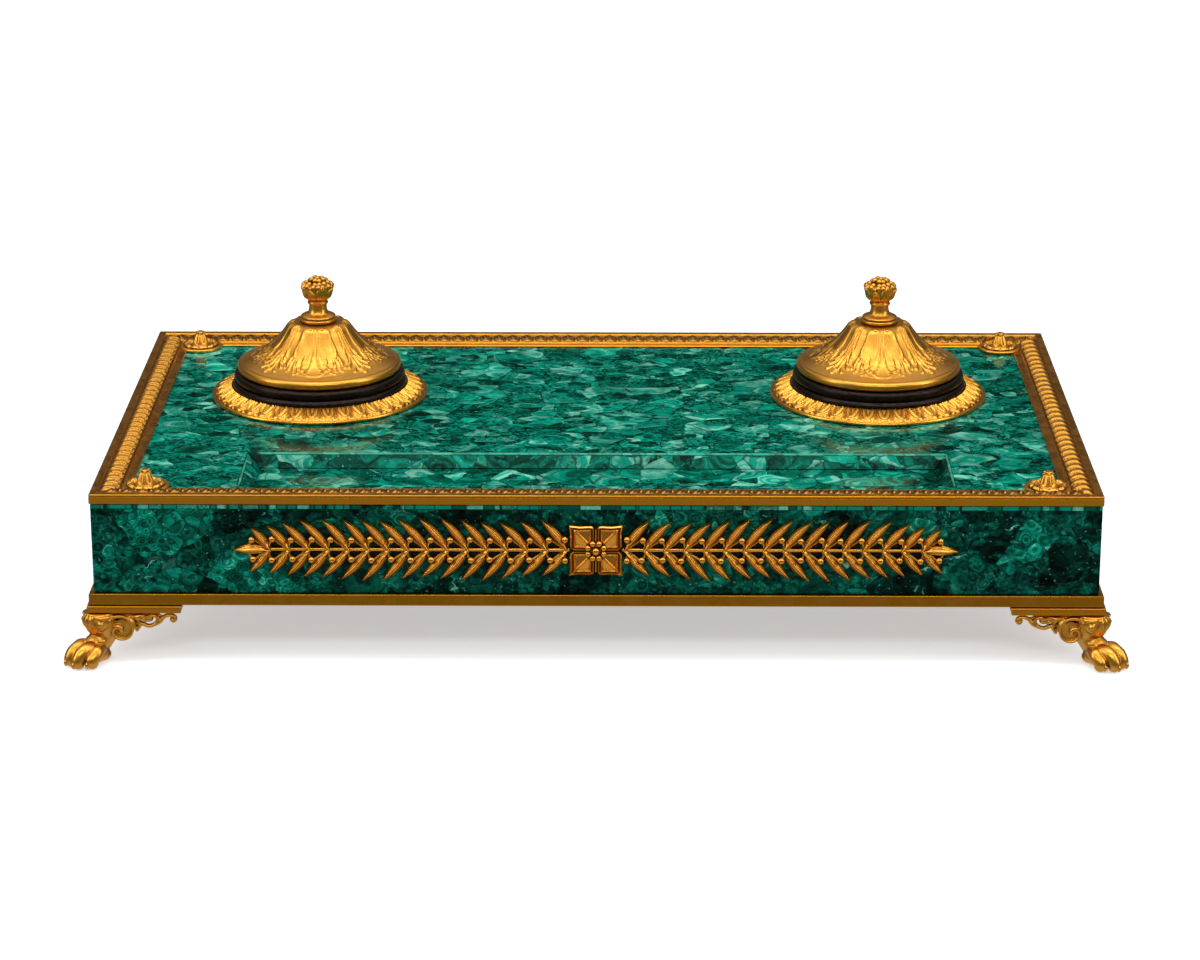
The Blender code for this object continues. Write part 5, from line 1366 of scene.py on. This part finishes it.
class INKSTAND_OT_feet(Operator):
    """Model the lion-paw feet with their volutes and scrolled wings"""
    bl_idname = "inkstand.feet"
    bl_label = "Feet"

    def execute(self, context):
        half_x, half_y = half_case()
        mesh = foot_mesh(context.scene.inkstand_feet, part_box("foot_front_left")[1].z)
        for corner, (sx, sy, turn) in CORNERS.items():
            copy = mesh.copy()
            copy.transform(Matrix.Translation((sx * half_x, sy * half_y, 0)) @ Matrix.Rotation(turn, 4, "Z"))
            place(f"paw_foot_{corner}", copy, ("burnished_gilding",), (f"foot_{corner}",))
        return {"FINISHED"}


# Stage

def put(thing, spot, turn):
    bpy.context.scene.collection.objects.link(thing)
    thing.location = spot
    thing.rotation_euler = turn


def softbox(name, spot, aim, size, power):
    """A rectangular light that points at a spot."""
    light = bpy.data.lights.new(name, "AREA")
    light.shape = "RECTANGLE"
    light.size, light.size_y = size
    light.energy = power
    turn = (Vector(aim) - Vector(spot)).to_track_quat("-Z", "Y").to_euler()
    put(bpy.data.objects.new(name, light), spot, turn)


def studio_world():
    """Dim surroundings that brighten overhead. The camera sees plain pale paper."""
    world = bpy.data.worlds.new("studio")
    bpy.context.scene.world = world
    world.use_nodes = True
    tree = Tree(world.node_tree)
    up = tree.node("SeparateXYZ", {0: tree.node("TexCoord").outputs["Generated"]}).outputs["Z"]
    tone = tree.plus(tree.remap(up, 0.38, 0.55, 0.01, 0.52), tree.remap(up, 0.72, 1.0, 0.0, 0.3),
                     tree.remap(up, -0.6, -0.1, 0.42, 0.0), tree.remap(up, 0.12, 0.24, 0.15, 0.0))
    around = tree.grey(tone)
    seen = tree.node("LightPath").outputs["Is Camera Ray"]
    sky = world.node_tree.nodes["Background"]
    tree.feed(sky.inputs["Color"], tree.mix(seen, around, (0.97, 0.97, 0.97)))


class INKSTAND_OT_stage(Operator):
    """Set the pale floor, the soft studio lights and the camera"""
    bl_idname = "inkstand.stage"
    bl_label = "Stage"

    def execute(self, context):
        stage = context.scene.inkstand_stage
        context.scene.view_settings.view_transform = "Standard"
        studio_world()
        tone = tuple(stage.floor)
        tree, shader, spot = start_material(
            "studio_floor", Roughness=0.9, Specular_IOR_Level=0.1, Emission_Color=(*tone, 1),
            Emission_Strength=stage.glow)
        speck = tree.noise(spot, 3.0)
        tree.feed(shader["Base Color"], tree.mix(speck, tone, tuple(t * 0.99 for t in tone)))
        size = 6.0
        flat = bpy.data.meshes.new("floor")
        corners = [(-size, -size, 0), (size, -size, 0), (size, size, 0), (-size, size, 0)]
        flat.from_pydata(corners, [], [(0, 1, 2, 3)])
        flat.materials.append(bpy.data.materials["studio_floor"])
        floor = bpy.data.objects.new("floor", flat)
        put(floor, (0, 0, 0), (0, 0, 0))
        floor.visible_glossy = False
        softbox("top_light", (0, -0.15, 1.5), (0, 0, 0), (1.8, 0.7), stage.key)
        softbox("front_light", (0, -1.35, 1.15), (0, 0, 0.03), (1.7, 0.3), stage.front)
        softbox("left_light", (-1.25, -0.45, 0.75), (0, 0, 0.05), (0.5, 1.0), stage.side)
        softbox("right_light", (1.25, -0.45, 0.75), (0, 0, 0.05), (0.5, 1.0), stage.side)
        camera = bpy.data.cameras.new("camera")
        camera.lens = stage.lens
        camera.sensor_width = 36
        camera.shift_y = -0.0041
        camera.clip_start = 0.01
        context.scene.camera = bpy.data.objects.new("camera", camera)
        put(context.scene.camera, (0.0120, -1.5141, 0.5537),
            (math.radians(71.3455), 0, math.radians(0.423)))
        return {"FINISHED"}


class INKSTAND_PT_panel(Panel):
    """The inkstand's pieces, in the order in which they are made"""
    bl_idname = "INKSTAND_PT_panel"
    bl_label = "Desk inkstand"
    bl_space_type = "VIEW_3D"
    bl_region_type = "UI"
    bl_category = "Inkstand"

    def draw(self, context):
        for name in GROUPS:
            box = self.layout.box()
            held = getattr(context.scene, name)
            for key in held.__annotations__:
                box.prop(held, key)
        for operator in OPERATORS:
            self.layout.operator(operator.bl_idname)


GROUPS = {
    "inkstand_gilt": InkstandGilt, "inkstand_stone": InkstandStone, "inkstand_rails": InkstandRails,
    "inkstand_wells": InkstandWells, "inkstand_trim": InkstandTrim, "inkstand_feet": InkstandFeet,
    "inkstand_stage": InkstandStage,
}
OPERATORS = (
    INKSTAND_OT_stage, INKSTAND_OT_materials, INKSTAND_OT_rails, INKSTAND_OT_base, INKSTAND_OT_bosses,
    INKSTAND_OT_trim, INKSTAND_OT_wells, INKSTAND_OT_lids, INKSTAND_OT_feet,
)


def register():
    for cls in (*GROUPS.values(), *OPERATORS, INKSTAND_PT_panel):
        bpy.utils.register_class(cls)
    for name, cls in GROUPS.items():
        setattr(bpy.types.Scene, name, PointerProperty(type=cls))


def unregister():
    for name in GROUPS:
        delattr(bpy.types.Scene, name)
    for cls in (INKSTAND_PT_panel, *reversed(OPERATORS), *reversed(GROUPS.values())):
        bpy.utils.unregister_class(cls)


def main():
    register()
    bpy.ops.inkstand.stage()
    bpy.ops.inkstand.materials()
    bpy.ops.inkstand.rails()
    bpy.ops.inkstand.base()
    bpy.ops.inkstand.bosses()
    bpy.ops.inkstand.trim()
    bpy.ops.inkstand.wells()
    bpy.ops.inkstand.lids()
    bpy.ops.inkstand.feet()
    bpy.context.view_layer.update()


if __name__ == "__main__":
    main()
